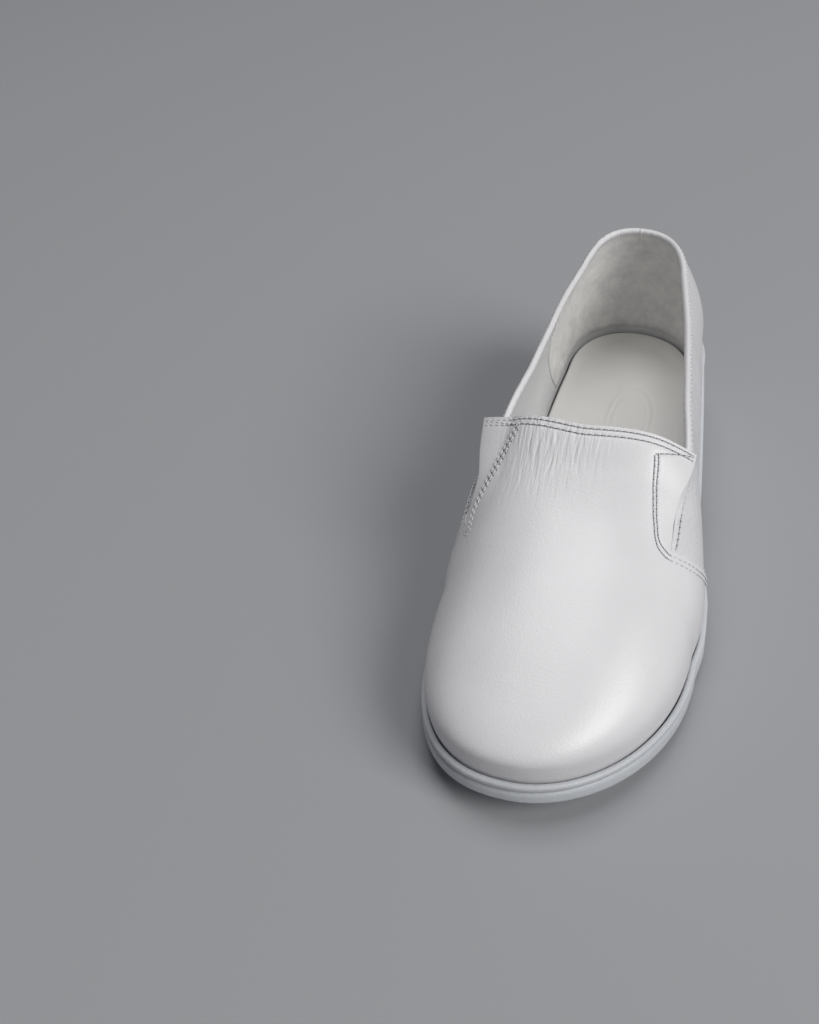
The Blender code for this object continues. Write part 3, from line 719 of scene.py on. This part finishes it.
def wall_grid(side, foot, head, below, above):
    """Wall between the feather edge and the top edge. Rows below the bulge stand upright; above
    it each moves from its foot station to its head station with height to the seam's power."""
    along = outline(side, foot)[1]
    seat = seat_height(along) + FEATHER_GAP
    low = bulge_height(along)
    high = collar_height(side, outline(side, head)[1])
    lower = seat + (low - seat) * below[:, None]
    upper = low + (high - low) * above[:, None]
    slant = above[:, None] ** SEAM_CURVE[side]
    stations = np.concatenate([foot + 0 * lower, foot + (head - foot) * slant])
    return stations, np.concatenate([lower, upper])


def surface_normals(points, side):
    """Outward normals of a grid: cross product of its two central differences. A last row that
    is one single point takes the mean normal of the row before it."""
    lengthwise = np.gradient(points, axis=1, edge_order=2)
    normals = unit(np.cross(lengthwise, np.gradient(points, axis=0, edge_order=2)))
    if np.ptp(points[-1], axis=0).max() < 1e-6:
        normals[-1] = unit(normals[-2].mean(0))
    return normals * side


Fold = namedtuple("Fold", "station width depth phase")
QUARTER_FOLDS = (
    Fold(1.52, 0.016, 0.00030, 0.3),
    Fold(1.58, 0.012, 0.00035, 1.1),
    Fold(1.63, 0.014, 0.00025, 2.3),
    Fold(1.70, 0.018, 0.00038, 0.8),
    Fold(1.79, 0.020, 0.00030, 1.9),
    Fold(1.90, 0.024, 0.00026, 2.7),
)
INNER_FOLD_SHARE = 0.55
BACK_SEAM_DEPTH = 0.00035
BACK_SEAM_WIDTH = 0.012


def quarter_creases(side, station, height):
    """Outward depth of the quarter's creases: a few soft upright troughs on the outer side where
    the shoe bends, fainter on the inner, and a shallow groove at the back seam."""
    depth = np.zeros(station.shape)
    for fold in QUARTER_FOLDS:
        middle = fold.station + 0.02 * np.sin(height * 90 + fold.phase)
        depth -= fold.depth * bell((station - middle) / fold.width)
    depth *= 1.0 if side == OUTER else INNER_FOLD_SHARE
    depth *= ease(height, 0.030, 0.045)
    return depth - BACK_SEAM_DEPTH * bell((station - 3) / BACK_SEAM_WIDTH)


def shell_object(name, grids, outward, thickness, material, merge=0.00002):
    """One piece from grids of (points, side, extra depth): each point is pushed out along the
    mean normal of the grids that meet there, all are merged, and the wall grows inward."""
    points, normals, depths, faces = [], [], [], []
    count = 0
    for grid, side, extra in grids:
        quads = grid_faces(*grid.shape[:2], first=count)
        points.append(grid.reshape(-1, 3))
        normals.append(surface_normals(grid, side).reshape(-1, 3))
        depths.append(np.broadcast_to(outward + extra, grid.shape[:2]).reshape(-1))
        faces.append(quads if side == OUTER else quads[:, ::-1])
        count += len(points[-1])
    points = np.concatenate(points)
    found = np.unique(np.round(points, 6), axis=0, return_inverse=True, return_counts=True)
    same, shared = found[1].reshape(-1), found[2]
    arrows = np.zeros((len(shared), 3))
    np.add.at(arrows, same, np.concatenate(normals))
    depth = np.bincount(same, np.concatenate(depths)) / shared
    pushed = points + unit(arrows)[same] * depth[same][:, None]
    piece = add_mesh(name, pushed, np.concatenate(faces), material)
    weld = piece.modifiers.new("weld", "WELD")
    weld.merge_threshold = merge
    wall = piece.modifiers.new("wall", "SOLIDIFY")
    wall.thickness = thickness
    wall.offset = -1
    return piece


quarter_leather = soft_leather_material(
    "quarter_leather", ((0.70, 0.695, 0.72), (0.78, 0.775, 0.80)), 0.42, 620, 0.42, 0.0005, 0.08
)
quarter_walls = []
for side, name in ((INNER, "quarter_inner"), (OUTER, "quarter_outer")):
    stations, heights = wall_grid(side, *rear_stations(side), QUARTER_BELOW, QUARTER_ABOVE)
    wall = wall_point(side, stations, heights)
    quarter_walls.append((wall, side, 0.0))
    creased = [(wall, side, quarter_creases(side, stations, heights))]
    quarter = shell_object(name, creased, 0.0, QUARTER_LEATHER, quarter_leather)
    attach(quarter, "root")


# The lining. Smooth pale leather inside the quarters, and over it, round the heel, a counter
# lining of suede with its nap out and a curved front edge.

LINING_DEPTH = 0.0011
LINING_THICKNESS = 0.0004
COUNTER_DEPTH = 0.0015
COUNTER_THICKNESS = 0.0006
Front = namedtuple("Front", "along place")
COUNTER_FRONT = (
    Front(0.00, 0.802),
    Front(0.25, 0.766),
    Front(0.50, 0.748),
    Front(0.75, 0.764),
    Front(1.00, 0.786),
)


def suede_material():
    """Suede: mottled grey-beige, very rough, with a soft sheen and a fuzzy noise bump."""
    material, tree, shader = new_material("counter_suede", (0.88, 0.87, 0.85), 0.95)
    place = own_place(tree)
    mottle = noise(tree, place, 130, 8, Roughness=0.72)
    tint_by(tree, shader, mottle, (0.34, (0.72, 0.71, 0.70)), (0.68, (0.95, 0.94, 0.92)))
    bump_by(tree, shader, noise(tree, place, 900, 6), 0.6, 0.0006)
    shader.inputs["Sheen Weight"].default_value = 0.35
    shader.inputs["Sheen Roughness"].default_value = 0.5
    return material


lining_leather = soft_leather_material(
    "lining_leather", ((0.70, 0.70, 0.71), (0.78, 0.78, 0.79)), 0.5, 900, 0.2, 0.0003
)
counter_suede = suede_material()
lining = shell_object(
    "quarter_lining", quarter_walls, -LINING_DEPTH, LINING_THICKNESS, lining_leather
)
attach(lining, "root")

counter_walls = []
for side in (INNER, OUTER):
    above = np.linspace(0, 0.985, 50)[:, None]
    below = np.linspace(0.25, 1, 8)[:-1, None]
    share = np.concatenate([0.3 * below, 0.3 + 0.7 * above])
    front = station_of(follow(COUNTER_FRONT, "place", share))
    stations = front + (3 - front) * np.linspace(0, 1, 110)
    along = outline(side, stations)[1]
    low = bulge_height(along)
    rows = len(below)
    seat = seat_height(along[:rows])
    lower = seat + (low[:rows] - seat) * below
    upper = low[rows:] + (collar_height(side, along[rows:]) - low[rows:]) * above
    heights = np.concatenate([lower, upper])
    counter_walls.append((wall_point(side, stations, heights), side, 0.0))
counter = shell_object(
    "counter_lining", counter_walls, -COUNTER_DEPTH, COUNTER_THICKNESS, counter_suede
)
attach(counter, "root")


# The vamp. One piece of smooth soft leather over toe and instep, lasted over the quarters; its
# top edge is folded, its two top corners stand off the shoe as flaps over the elastic, and a
# thin lining is glued inside it.

FLAP_LIFT = {INNER: 0.0068, OUTER: 0.0022}
FLAP_WIDTH = 0.016
SLIT_GAP = 0.0021
VAMP_LEATHER = 0.00095
VAMP_WELD = 0.00003
VAMP_FOLD = 0.00035
VAMP_LINING = 0.0008
LINING_OUT = 0.00003
SLIT_WIDENS = 0.25
FLAP_OVERLAP = 0.0038
SECTION = 2 * COLLAR_INSET + INSTEP_HEIGHT / 2


def arch_point(side, station, angle):
    """Point of the vamp's arch: the share out is cosine to 2/n and the rise is sine to 2/n of
    an angle that is 0 at the bulge and a quarter turn at the ridge."""
    width, along, centre = outline(side, station)
    roundness = follow(RIDGE, "roundness", along)
    share = np.clip(np.cos(angle), 0, 1) ** (2 / roundness)
    place = centre + (along - centre) * share
    low = bulge_height(along)
    height = low + (ridge_height(place) - low) * np.sin(angle) ** (2 / roundness)
    return placed(side, width, along, centre, share, height)


def angle_at(along, height):
    """Angle on the arch of the section at `along` where it reaches a height."""
    low = bulge_height(along)
    rise = (height - low) / (ridge_height(along) - low)
    return np.arcsin(np.clip(rise, 0, 1) ** (follow(RIDGE, "roundness", along) / 2))


def opened_at(side, edge):
    """Share of the way back from the slit's end to the flap's corner."""
    return np.clip((edge - SLIT_END) / (CORNER[side] - SLIT_END), 0, 1)


def bridge_base(side, edge, share):
    """Vamp between its side edge and the ridge. `edge` is the place of the section at its side;
    behind the slit's end its ridge lags, so that the corners reach farther back."""
    opened = opened_at(side, edge)
    ridge = np.minimum(edge, SLIT_END) + (THROAT - SLIT_END) * opened
    along = edge + (ridge - edge) * np.clip(share, 0, 1) ** 0.8
    gap = SLIT_GAP * np.minimum(opened / SLIT_WIDENS, 1) - FLAP_OVERLAP * opened**2
    head = angle_at(along, collar_height(side, edge)) + gap / SECTION
    return arch_point(side, station_of(along), head + (np.pi / 2 - head) * share)


def flap_lift(side, edge, share):
    """How far a flap stands off: grows with the way along the slit to 1.3 and falls to nothing
    one flap width in from the free edge."""
    near = np.clip(1 - share * SECTION / FLAP_WIDTH, 0, 1)
    return FLAP_LIFT[side] * opened_at(side, edge) ** 1.3 * near**1.4


ROW_NEAR = 0.0013
ROW_FAR = 0.0033
ROW_TROUGH = 0.00014
Sewn = namedtuple("Sewn", "back inward")
FLAP_ROWS = {
    INNER: (
        Sewn(0.900, 0.0246),
        Sewn(0.850, 0.0234),
        Sewn(0.695, 0.0192),
        Sewn(0.540, 0.0134),
        Sewn(0.365, 0.0095),
        Sewn(0.215, 0.0070),
        Sewn(0.080, 0.0053),
        Sewn(-0.060, 0.0040),
        Sewn(-0.150, 0.0020),
        Sewn(-0.190, 0.0000),
    ),
    OUTER: (
        Sewn(0.805, 0.0250),
        Sewn(0.770, 0.0240),
        Sewn(0.545, 0.0188),
        Sewn(0.315, 0.0152),
        Sewn(0.030, 0.0118),
        Sewn(-0.100, 0.0086),
        Sewn(-0.180, 0.0042),
        Sewn(-0.213, 0.0000),
    ),
}
ROW_ABOVE_LIP = 0.0012
SEAM_ROWS = {INNER: (0.0033, 0.0014), OUTER: (0.0037, 0.0018)}


def back_unit(side, back):
    """What one whole `back` stands for: behind the slit's end the way to the flap's corner, in
    front of it the way to the toe's fan."""
    return np.where(back > 0, CORNER[side] - SLIT_END, SLIT_END - FAN)


def bridge_place(side, back, inward):
    """Point of the vamp `inward` metres in from its free side edge, at the share `back` of the
    way from the slit's end to the flap's corner; in front of the slit's end it is negative."""
    edge = SLIT_END + back * back_unit(side, back)
    share = inward / SECTION
    step = 1e-4
    lengthwise = bridge_base(side, edge + step, share) - bridge_base(side, edge - step, share)
    crosswise = bridge_base(side, edge, share + step) - bridge_base(side, edge, share - step)
    normal = unit(np.cross(lengthwise, crosswise)) * side
    lift = VAMP_STEP + flap_lift(side, edge, share)
    return bridge_base(side, edge, share) + normal * lift[..., None]


def beside_line(line, offset):
    """Line in a plane, moved to its left by an offset at right angles to itself."""
    ahead = unit(np.gradient(line, axis=0))
    return line + offset * np.stack([-ahead[:, 1], ahead[:, 0]], -1)


def flap_row(side, offset):
    """Row that holds the elastic: the sewing table of the side, rounded by a moving mean and
    shifted towards the free edge by an offset at right angles to its own line."""
    back, inward = np.array(FLAP_ROWS[side]).T
    line = np.stack([back * LENGTH * back_unit(side, back), inward], -1)
    fine = np.linspace(0, len(line) - 1, 160)
    line = np.stack([np.interp(fine, np.arange(len(line)), column) for column in line.T], -1)
    padded = np.pad(line, ((10, 10), (0, 0)), "reflect", reflect_type="odd")
    mean = np.hanning(21) / np.hanning(21).sum()
    line = np.stack([np.convolve(column, mean, "valid") for column in padded.T], -1)
    run, inward = beside_line(line, offset).T
    return bridge_place(side, run / (LENGTH * back_unit(side, run)), np.maximum(inward, 0))


def seam_row(side, offset):
    """Row beside the vamp's rear edge, from the slit's end to the sole: the edge's own line on
    the wall, moved forward and down by the offset at right angles to it."""
    rise = np.linspace(1, -0.55, 150)
    slant = np.clip(rise, 0, 1) ** SEAM_CURVE[side]
    along = SEAM_FOOT[side] + (SLIT_END - SEAM_FOOT[side]) * slant
    low = bulge_height(along)
    span = np.where(rise > 0, collar_height(side, along) - low, low - rim_height(along))
    run, height = beside_line(np.stack([along * LENGTH, low + span * rise], -1), -offset).T
    height = np.maximum(height, rim_height(run / LENGTH) + ROW_ABOVE_LIP)
    wall = wall_point(side, station_of(run / LENGTH), height)
    return wall + np.array([side * VAMP_STEP, 0.0, 0.0])


def throat_row(offset):
    """Row along the folded top edge, from one corner over the ridge to the other."""
    share = np.linspace(0.02, 1, 110)
    halves = []
    for side in (OUTER, INNER):
        length = LENGTH * (CORNER[side] - SLIT_END + (THROAT - CORNER[side]) * share)
        halves.append(bridge_place(side, 1 - offset / length, share * SECTION))
    return np.concatenate([halves[0], halves[1][-2::-1]])


def corner_row(side):
    """Short slanting row from the folded corner of a flap to the top of its two rows."""
    top = FLAP_ROWS[side][0]
    share = np.linspace(0, 1, 30)
    start = 1 - ROW_NEAR / (LENGTH * (THROAT - SLIT_END))
    back = start + (top.back - start) * share
    return bridge_place(side, back, ROW_NEAR + (top.inward - ROW_NEAR) * share)


vamp_rows = [throat_row(ROW_NEAR), throat_row(ROW_FAR)]
for side in (INNER, OUTER):
    for offset, behind in zip((0.0, ROW_FAR - ROW_NEAR), SEAM_ROWS[side]):
        vamp_rows.append(np.concatenate([flap_row(side, offset), seam_row(side, behind)[1:]]))
    vamp_rows.append(corner_row(side))


def along_path(path, spacing):
    """Points at even spacing along a polyline: linear between its points, by length run."""
    run = np.concatenate([[0], np.cumsum(np.linalg.norm(np.diff(path, axis=0), axis=1))])
    places = np.arange(0.5 * spacing, run[-1], spacing)
    return np.stack([np.interp(places, run, path[:, k]) for k in range(3)], -1)


ROW_POINTS = np.concatenate([along_path(row, 0.0008) for row in vamp_rows])


def beside_rows(grid, rows, width):
    """Bell of the distance to the nearest point of the rows: 1 on a row, 0 away from it."""
    nearest = np.full(grid.shape[:-1], 1.0)
    for part in np.array_split(rows, max(1, len(rows) // 200)):
        gap = np.linalg.norm(grid[..., None, :] - part, axis=-1)
        nearest = np.minimum(nearest, gap.min(-1))
    return bell(nearest / width)


Crease = namedtuple("Crease", "x front back bend depth")
THROAT_CREASES = (
    Crease(-0.0178, 0.405, 0.441, -0.0010, 0.00010),
    Crease(-0.0160, 0.392, 0.443, 0.0008, 0.00013),
    Crease(-0.0139, 0.384, 0.444, -0.0012, 0.00017),
    Crease(-0.0119, 0.398, 0.444, 0.0009, 0.00014),
    Crease(-0.0099, 0.380, 0.445, 0.0014, 0.00018),
    Crease(-0.0081, 0.393, 0.445, -0.0010, 0.00014),
    Crease(-0.0060, 0.386, 0.445, 0.0012, 0.00017),
    Crease(-0.0043, 0.401, 0.445, -0.0007, 0.00011),
    Crease(-0.0024, 0.394, 0.445, 0.0010, 0.00014),
    Crease(-0.0003, 0.408, 0.445, 0.0008, 0.00009),
    Crease(0.0026, 0.399, 0.445, -0.0006, 0.00006),
    Crease(-0.0200, 0.352, 0.396, 0.0012, 0.00006),
    Crease(-0.0235, 0.340, 0.382, -0.0010, 0.00006),
)
CREASE_WIDTH = 0.00050


def vamp_creases(x, along):
    """Outward depth of the vamp's fine wrinkles. Each is a bell-shaped trough round a line that
    bends sideways once between its two ends and fades at both; low ridges stand between them.
    Two broad shallow waves lie on the inner side behind the toe."""
    depth = 0.0
    for crease in THROAT_CREASES:
        run = np.clip((along - crease.front) / (crease.back - crease.front), 0, 1)
        line = crease.x + crease.bend * np.sin(run * np.pi) - 0.0012 * (1 - run)
        fade = ease(along, crease.front - 0.006, crease.front + 0.022)
        fade = fade * (1 - ease(along, crease.back - 0.006, crease.back + 0.002))
        beside = (x - line) / CREASE_WIDTH
        depth = depth - crease.depth * fade * (1.3 * bell(beside) - 0.5 * bell(beside / 2))
    broad = 0.00030 * bell((x + 0.030) / 0.02) * np.sin((along - 0.30) * 40)
    return depth + broad * ease(along, 0.20, 0.30)


TOE_FINE = 60
SIDE_FINE = 30
FLAP_FINE = 74
WALL_BELOW = np.linspace(0, 1, 9)[:-1]
WALL_ABOVE = np.linspace(0, 1, 20)
ARCH_FINE = np.linspace(0, 1, 112)


def toe_grid():
    """Rays of the toe from the outer side round the tip to the inner: up the wall, then over
    the arch to the one point at the fan's centre."""
    halves = []
    for side in (OUTER, INNER):
        toe = np.linspace(1, 0, TOE_FINE) if side == OUTER else np.linspace(0, 1, TOE_FINE)[1:]
        along = outline(side, toe)[1]
        seat = seat_height(along) + FEATHER_GAP
        heights = seat + (bulge_height(along) - seat) * WALL_BELOW[:, None]
        lower = wall_point(side, toe + 0 * heights, heights)
        fan_low = bulge_height(FAN)
        angles = angle_at(FAN, fan_low + (collar_height(side, FAN) - fan_low) * WALL_ABOVE)
        over = angles[-1] + (np.pi / 2 - angles[-1]) * ARCH_FINE[1:]
        angles = np.concatenate([angles, over])[:, None] + 0 * toe
        halves.append(np.concatenate([lower, arch_point(side, toe + 0 * angles, angles)]))
    return np.concatenate(halves, 1)


def instep_grid():
    """The bridge from the inner side edge over the ridge to the outer, with both flaps lifted
    along the bridge's normals."""
    halves = []
    for side in (INNER, OUTER):
        before = np.linspace(FAN, SLIT_END, SIDE_FINE)
        behind = np.linspace(SLIT_END, CORNER[side], FLAP_FINE)[1:]
        edge, share = np.meshgrid(np.concatenate([before, behind]), ARCH_FINE)
        bridge = bridge_base(side, edge, share)
        lift = flap_lift(side, edge, share)[..., None]
        lifted = bridge + surface_normals(bridge, side) * lift
        halves.append(lifted if side == INNER else lifted[-2::-1])
    return np.concatenate(halves)


def side_grid(side):
    """Side panel of the vamp between the toe's last ray and the seam, down to the sole."""
    foot = np.linspace(1, station_of(SEAM_FOOT[side]), SIDE_FINE)
    head = np.linspace(1, station_of(SLIT_END), SIDE_FINE)
    return wall_point(side, *wall_grid(side, foot, head, WALL_BELOW, WALL_ABOVE))


vamp_surfaces = (
    (toe_grid(), INNER),
    (instep_grid(), INNER),
    (side_grid(INNER), INNER),
    (side_grid(OUTER), OUTER),
)
vamp_leather = soft_leather_material(
    "vamp_leather", ((0.75, 0.742, 0.755), (0.82, 0.812, 0.825)), 0.34, 1300, 0.16, 0.0003, 0.15
)


def add_throat_wrinkles(material):
    """Fine wrinkles behind the throat's edge: noise drawn out lengthwise, as a bump over the
    grain that fades with smooth steps towards both sides and the toe."""
    tree = material.node_tree
    shader = tree.nodes["Principled BSDF"]
    grain = shader.inputs["Normal"].links[0].from_socket
    place = own_place(tree)
    drawn = {"Vector": place, "Rotation": (0.0, 0.0, 0.10), "Scale": (1.0, 0.13, 0.13)}
    drawn = add_node(tree, "Mapping", drawn).outputs["Vector"]
    height = noise(tree, drawn, 640, 2.5, Distortion=0.5)
    parts = add_node(tree, "SeparateXYZ", {"Vector": place}).outputs
    for axis, none, full in (("X", -0.040, -0.020), ("X", 0.016, -0.004), ("Y", -0.046, -0.016)):
        fade = {"Value": parts[axis], "From Min": none, "From Max": full}
        fade = add_node(tree, "MapRange", fade, interpolation_type="SMOOTHSTEP")
        product = {0: height, 1: fade.outputs["Result"]}
        height = add_node(tree, "Math", product, operation="MULTIPLY").outputs["Value"]
    bump_by(tree, shader, height, 0.65, 0.0011, Normal=grain)


add_throat_wrinkles(vamp_leather)
vamp_shells = []
for grid, side in vamp_surfaces:
    x = grid[..., 0] + BOX_MIDDLE[0]
    along = (grid[..., 1] + BOX_MIDDLE[1]) / LENGTH
    pressed = grid + surface_normals(grid, side) * VAMP_STEP
    trough = ROW_TROUGH * beside_rows(pressed, ROW_POINTS, 0.0007)
    vamp_shells.append((grid, side, vamp_creases(x, along) - trough))
vamp = shell_object("vamp", vamp_shells, VAMP_STEP, VAMP_LEATHER, vamp_leather, VAMP_WELD)
fold = vamp.modifiers.new("folded_edge", "BEVEL")
fold.width = VAMP_FOLD
fold.segments = 2
fold.limit_method = "ANGLE"
fold.angle_limit = np.radians(55)
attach(vamp, "root")
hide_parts("upper")

plain_shells = [(grid, side, 0.0) for grid, side in vamp_surfaces]
vamp_lining = shell_object(
    "vamp_lining", plain_shells, LINING_OUT, VAMP_LINING, lining_leather, VAMP_WELD
)
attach(vamp_lining, "root")


# The stitching of the vamp. Two rows of pale thread, greyed a little with painted shade, follow
# the top edge, hold the elastic along each flap and close the seam on the quarter; every stitch
# dips into its holes at both ends, and a dark plug in each hole paints the shade inside it.

STITCH_PITCH = 0.0024
THREAD_RADIUS = 0.00028
HOLE_RADIUS = 0.00037
HOLE_PROUD = 0.00004
HOLE_DEPTH = 0.0003
TUBE_RINGS, TUBE_SIDES = 7, 5


def path_frame(places):
    """Directions ahead, out and across at points of a path. Out is the direction away from the
    shoe's middle line, made square to the way ahead."""
    ahead = unit(np.gradient(places, axis=0))
    axis = places * np.array([0.0, 1.0, 0.0]) + np.array([0.0, 0.0, 0.030])
    guess = unit(places - axis)
    out = unit(guess - (guess * ahead).sum(-1, keepdims=True) * ahead)
    return ahead[:, None], out[:, None], np.cross(ahead, out)[:, None]


def stitch_mesh(places, radius):
    """Thread of each stitch: a tube of five sides and seven rings that arches out of one hole
    and down into the next, and closes to a point at both ends."""
    ahead, out, across = path_frame(places)
    run = np.repeat(np.linspace(-1, 1, TUBE_RINGS), TUBE_SIDES)[:, None]
    turn = np.tile(np.arange(TUBE_SIDES) / TUBE_SIDES * 2 * np.pi, TUBE_RINGS)[:, None]
    thin = radius * np.sqrt(1 - run**2) * 1.1
    rise = 1.2 * radius * (1 - 2.1 * run**4) - 0.3 * radius + thin * np.sin(turn)
    points = places[:, None] + ahead * run * 0.46 * STITCH_PITCH
    points = points + out * rise + across * thin * np.cos(turn)
    return points, grid_faces(TUBE_RINGS, TUBE_SIDES, closed=True)[:, ::-1]


def hole_mesh(places, radius):
    """Needle hole between two stitches: a six-sided plug of painted shade, dark as the inside of
    the hole, that narrows inward, its top just proud of the leather."""
    places = 0.5 * (places[1:] + places[:-1])
    ahead, out, across = path_frame(places)
    turn = np.arange(6)[:, None] / 6 * 2 * np.pi
    ring = radius * (ahead * np.cos(turn) * 1.1 + across * np.sin(turn) * 0.8)
    top = places[:, None] + ring + out * HOLE_PROUD
    bottom = places[:, None] + ring * 0.6 - out * HOLE_DEPTH
    ends = [[3, 2, 1, 0], [5, 4, 3, 0], [6, 7, 8, 9], [6, 9, 10, 11]]
    walls = [[k, (k + 1) % 6, (k + 1) % 6 + 6, k + 6] for k in range(6)]
    return np.concatenate([top, bottom], 1), np.array(ends + walls)


# The thread is pale; its grey, darker than the leather, is painted shade of thread sunk into the
# leather.
thread_pale_shaded = new_material("thread_pale_shaded", (0.70, 0.70, 0.72), 0.6)[0]
# The near-black of the needle holes is painted shade: the shade inside each hole, laid on a
# plug.
hole_shade_dark = new_material("needle_hole_shade", (0.17, 0.17, 0.18), 0.9)[0]


def sew(name, rows, radius=THREAD_RADIUS):
    """Thread and holes of several rows, joined into one piece each; the holes are dark plugs of
    painted shade.
    """
    for part, build, size, material in (
        ("thread", stitch_mesh, radius, thread_pale_shaded),
        ("hole_shades", hole_mesh, HOLE_RADIUS, hole_shade_dark),
    ):
        built = [build(along_path(row, STITCH_PITCH), size) for row in rows]
        points = np.concatenate([row_points for row_points, _ in built])
        faces = built[0][1] + np.arange(len(points))[:, None, None] * points.shape[1]
        piece = add_mesh(f"{name}_{part}", points, faces.reshape(-1, 4), material)
        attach(piece, "root")


sew("vamp", vamp_rows)


# The elastic. A strip of dark grey ribbed gusset elastic behind each slit, sewn under the vamp
# on one side and behind the quarter on the other.

GORE_REACH = 0.0075
GORE_DEPTH = 0.0017
GORE_THICKNESS = 0.0009


def gore_surface(side):
    """Strip across the slit: down the quarter below the slit and up the arch above it."""
    along = np.linspace(SLIT_END - 0.008, CORNER[side] - 0.004, 60)
    station = station_of(along)
    edge = collar_height(side, along)
    drop = np.linspace(1, 0, 14)[:, None]
    lower = wall_point(side, station + 0 * drop, edge - GORE_REACH * drop)
    rise = np.linspace(0, 1, 14)[1:, None]
    head = angle_at(along, edge)
    upper = arch_point(side, station + 0 * rise, head + rise * GORE_REACH / SECTION)
    return np.concatenate([lower, upper])


def elastic_material():
    """Knitted elastic: dark grey, matt, with fine ribs across its pull."""
    material, tree, shader = new_material("gore_elastic", (0.16, 0.165, 0.18), 0.9)
    waves = {"Vector": own_place(tree), "Scale": 420, "Distortion": 0.6}
    ribs = add_node(tree, "TexWave", waves, bands_direction="Y").outputs["Fac"]
    tint_by(tree, shader, ribs, (0.0, (0.10, 0.105, 0.12)), (1.0, (0.24, 0.245, 0.26)))
    bump_by(tree, shader, ribs, 0.6, 0.0004)
    return material


gore_elastic = elastic_material()
for side, name in ((INNER, "gore_inner"), (OUTER, "gore_outer")):
    strip = [(gore_surface(side), side, 0.0)]
    gore = shell_object(f"{name}_elastic", strip, -GORE_DEPTH, GORE_THICKNESS, gore_elastic)
    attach(gore, "root")
    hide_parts(name)


# The topline. A narrow strip of the same leather is folded over the quarters' top edge from one
# slit round the heel to the other, and sewn through with one row.

BINDING_OUT = 0.00045
BINDING_IN = 0.0021
BINDING_DROP = 0.0026
BINDING_FRONT = 0.352
BINDING_PROFILE = (
    (0.02, 1.00),
    (0.60, 0.96),
    (1.00, 0.72),
    (1.02, 0.25),
    (0.80, -0.08),
    (0.10, -0.25),
    (-0.45, -0.27),
    (-0.86, -0.16),
    (-1.02, 0.15),
    (-1.00, 0.80),
    (-0.88, 1.10),
)
BINDING_ACROSS, BINDING_DOWN = np.array(BINDING_PROFILE).T[..., None]
TOPLINE_DROP = 0.0014
TOPLINE_THREAD = 0.00024
TOPLINE_OUT = 0.00038


def binding_ring(side, station):
    """Folded strip: an eleven-point profile, flat outside, round over the edge and flat inside,
    carried along the top edge and fading to nothing at the slit's end."""
    along = outline(side, station)[1]
    top = collar_height(side, along)
    heads = wall_point(side, station, top)
    feet = wall_point(side, station, top - 0.002)
    down = unit(feet - heads)
    out = unit(np.cross(down, np.gradient(heads, axis=0))) * side
    full = ease(along, BINDING_FRONT, BINDING_FRONT + 0.045)[:, None, None]
    pucker = 1 + 0.05 * np.sin(station * 260)[:, None, None]
    sideways = np.where(BINDING_ACROSS > 0, BINDING_OUT, BINDING_IN) * BINDING_ACROSS * pucker
    shift = out[:, None] * sideways + down[:, None] * BINDING_DROP * BINDING_DOWN
    return heads[:, None] + shift * full


binding_run = np.linspace(station_of(BINDING_FRONT + 0.001), 3, 420)
binding_halves = [binding_ring(OUTER, binding_run), binding_ring(INNER, binding_run)[-2::-1]]
binding_rings = np.concatenate(binding_halves)
for end in (0, -1):
    binding_rings[end] = binding_rings[end].mean(0)
binding_quads = grid_faces(*binding_rings.shape[:2], closed=True)[:, ::-1]
binding = add_mesh("topline_binding", binding_rings, binding_quads, vamp_leather)
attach(binding, "root")
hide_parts("collar_binding")


def topline_row(side):
    """Row of stitches a little below the top edge of a quarter, on its outside."""
    station = np.linspace(station_of(SLIT_END + 0.006), 3, 560)
    height = collar_height(side, outline(side, station)[1]) - TOPLINE_DROP
    wall = wall_point(side, station, height)
    out = unit(np.cross(np.gradient(wall, axis=0), np.array([0.0, 0.0, 1.0]))) * side
    return wall + out * TOPLINE_OUT


sew("topline", [topline_row(INNER), topline_row(OUTER)], TOPLINE_THREAD)
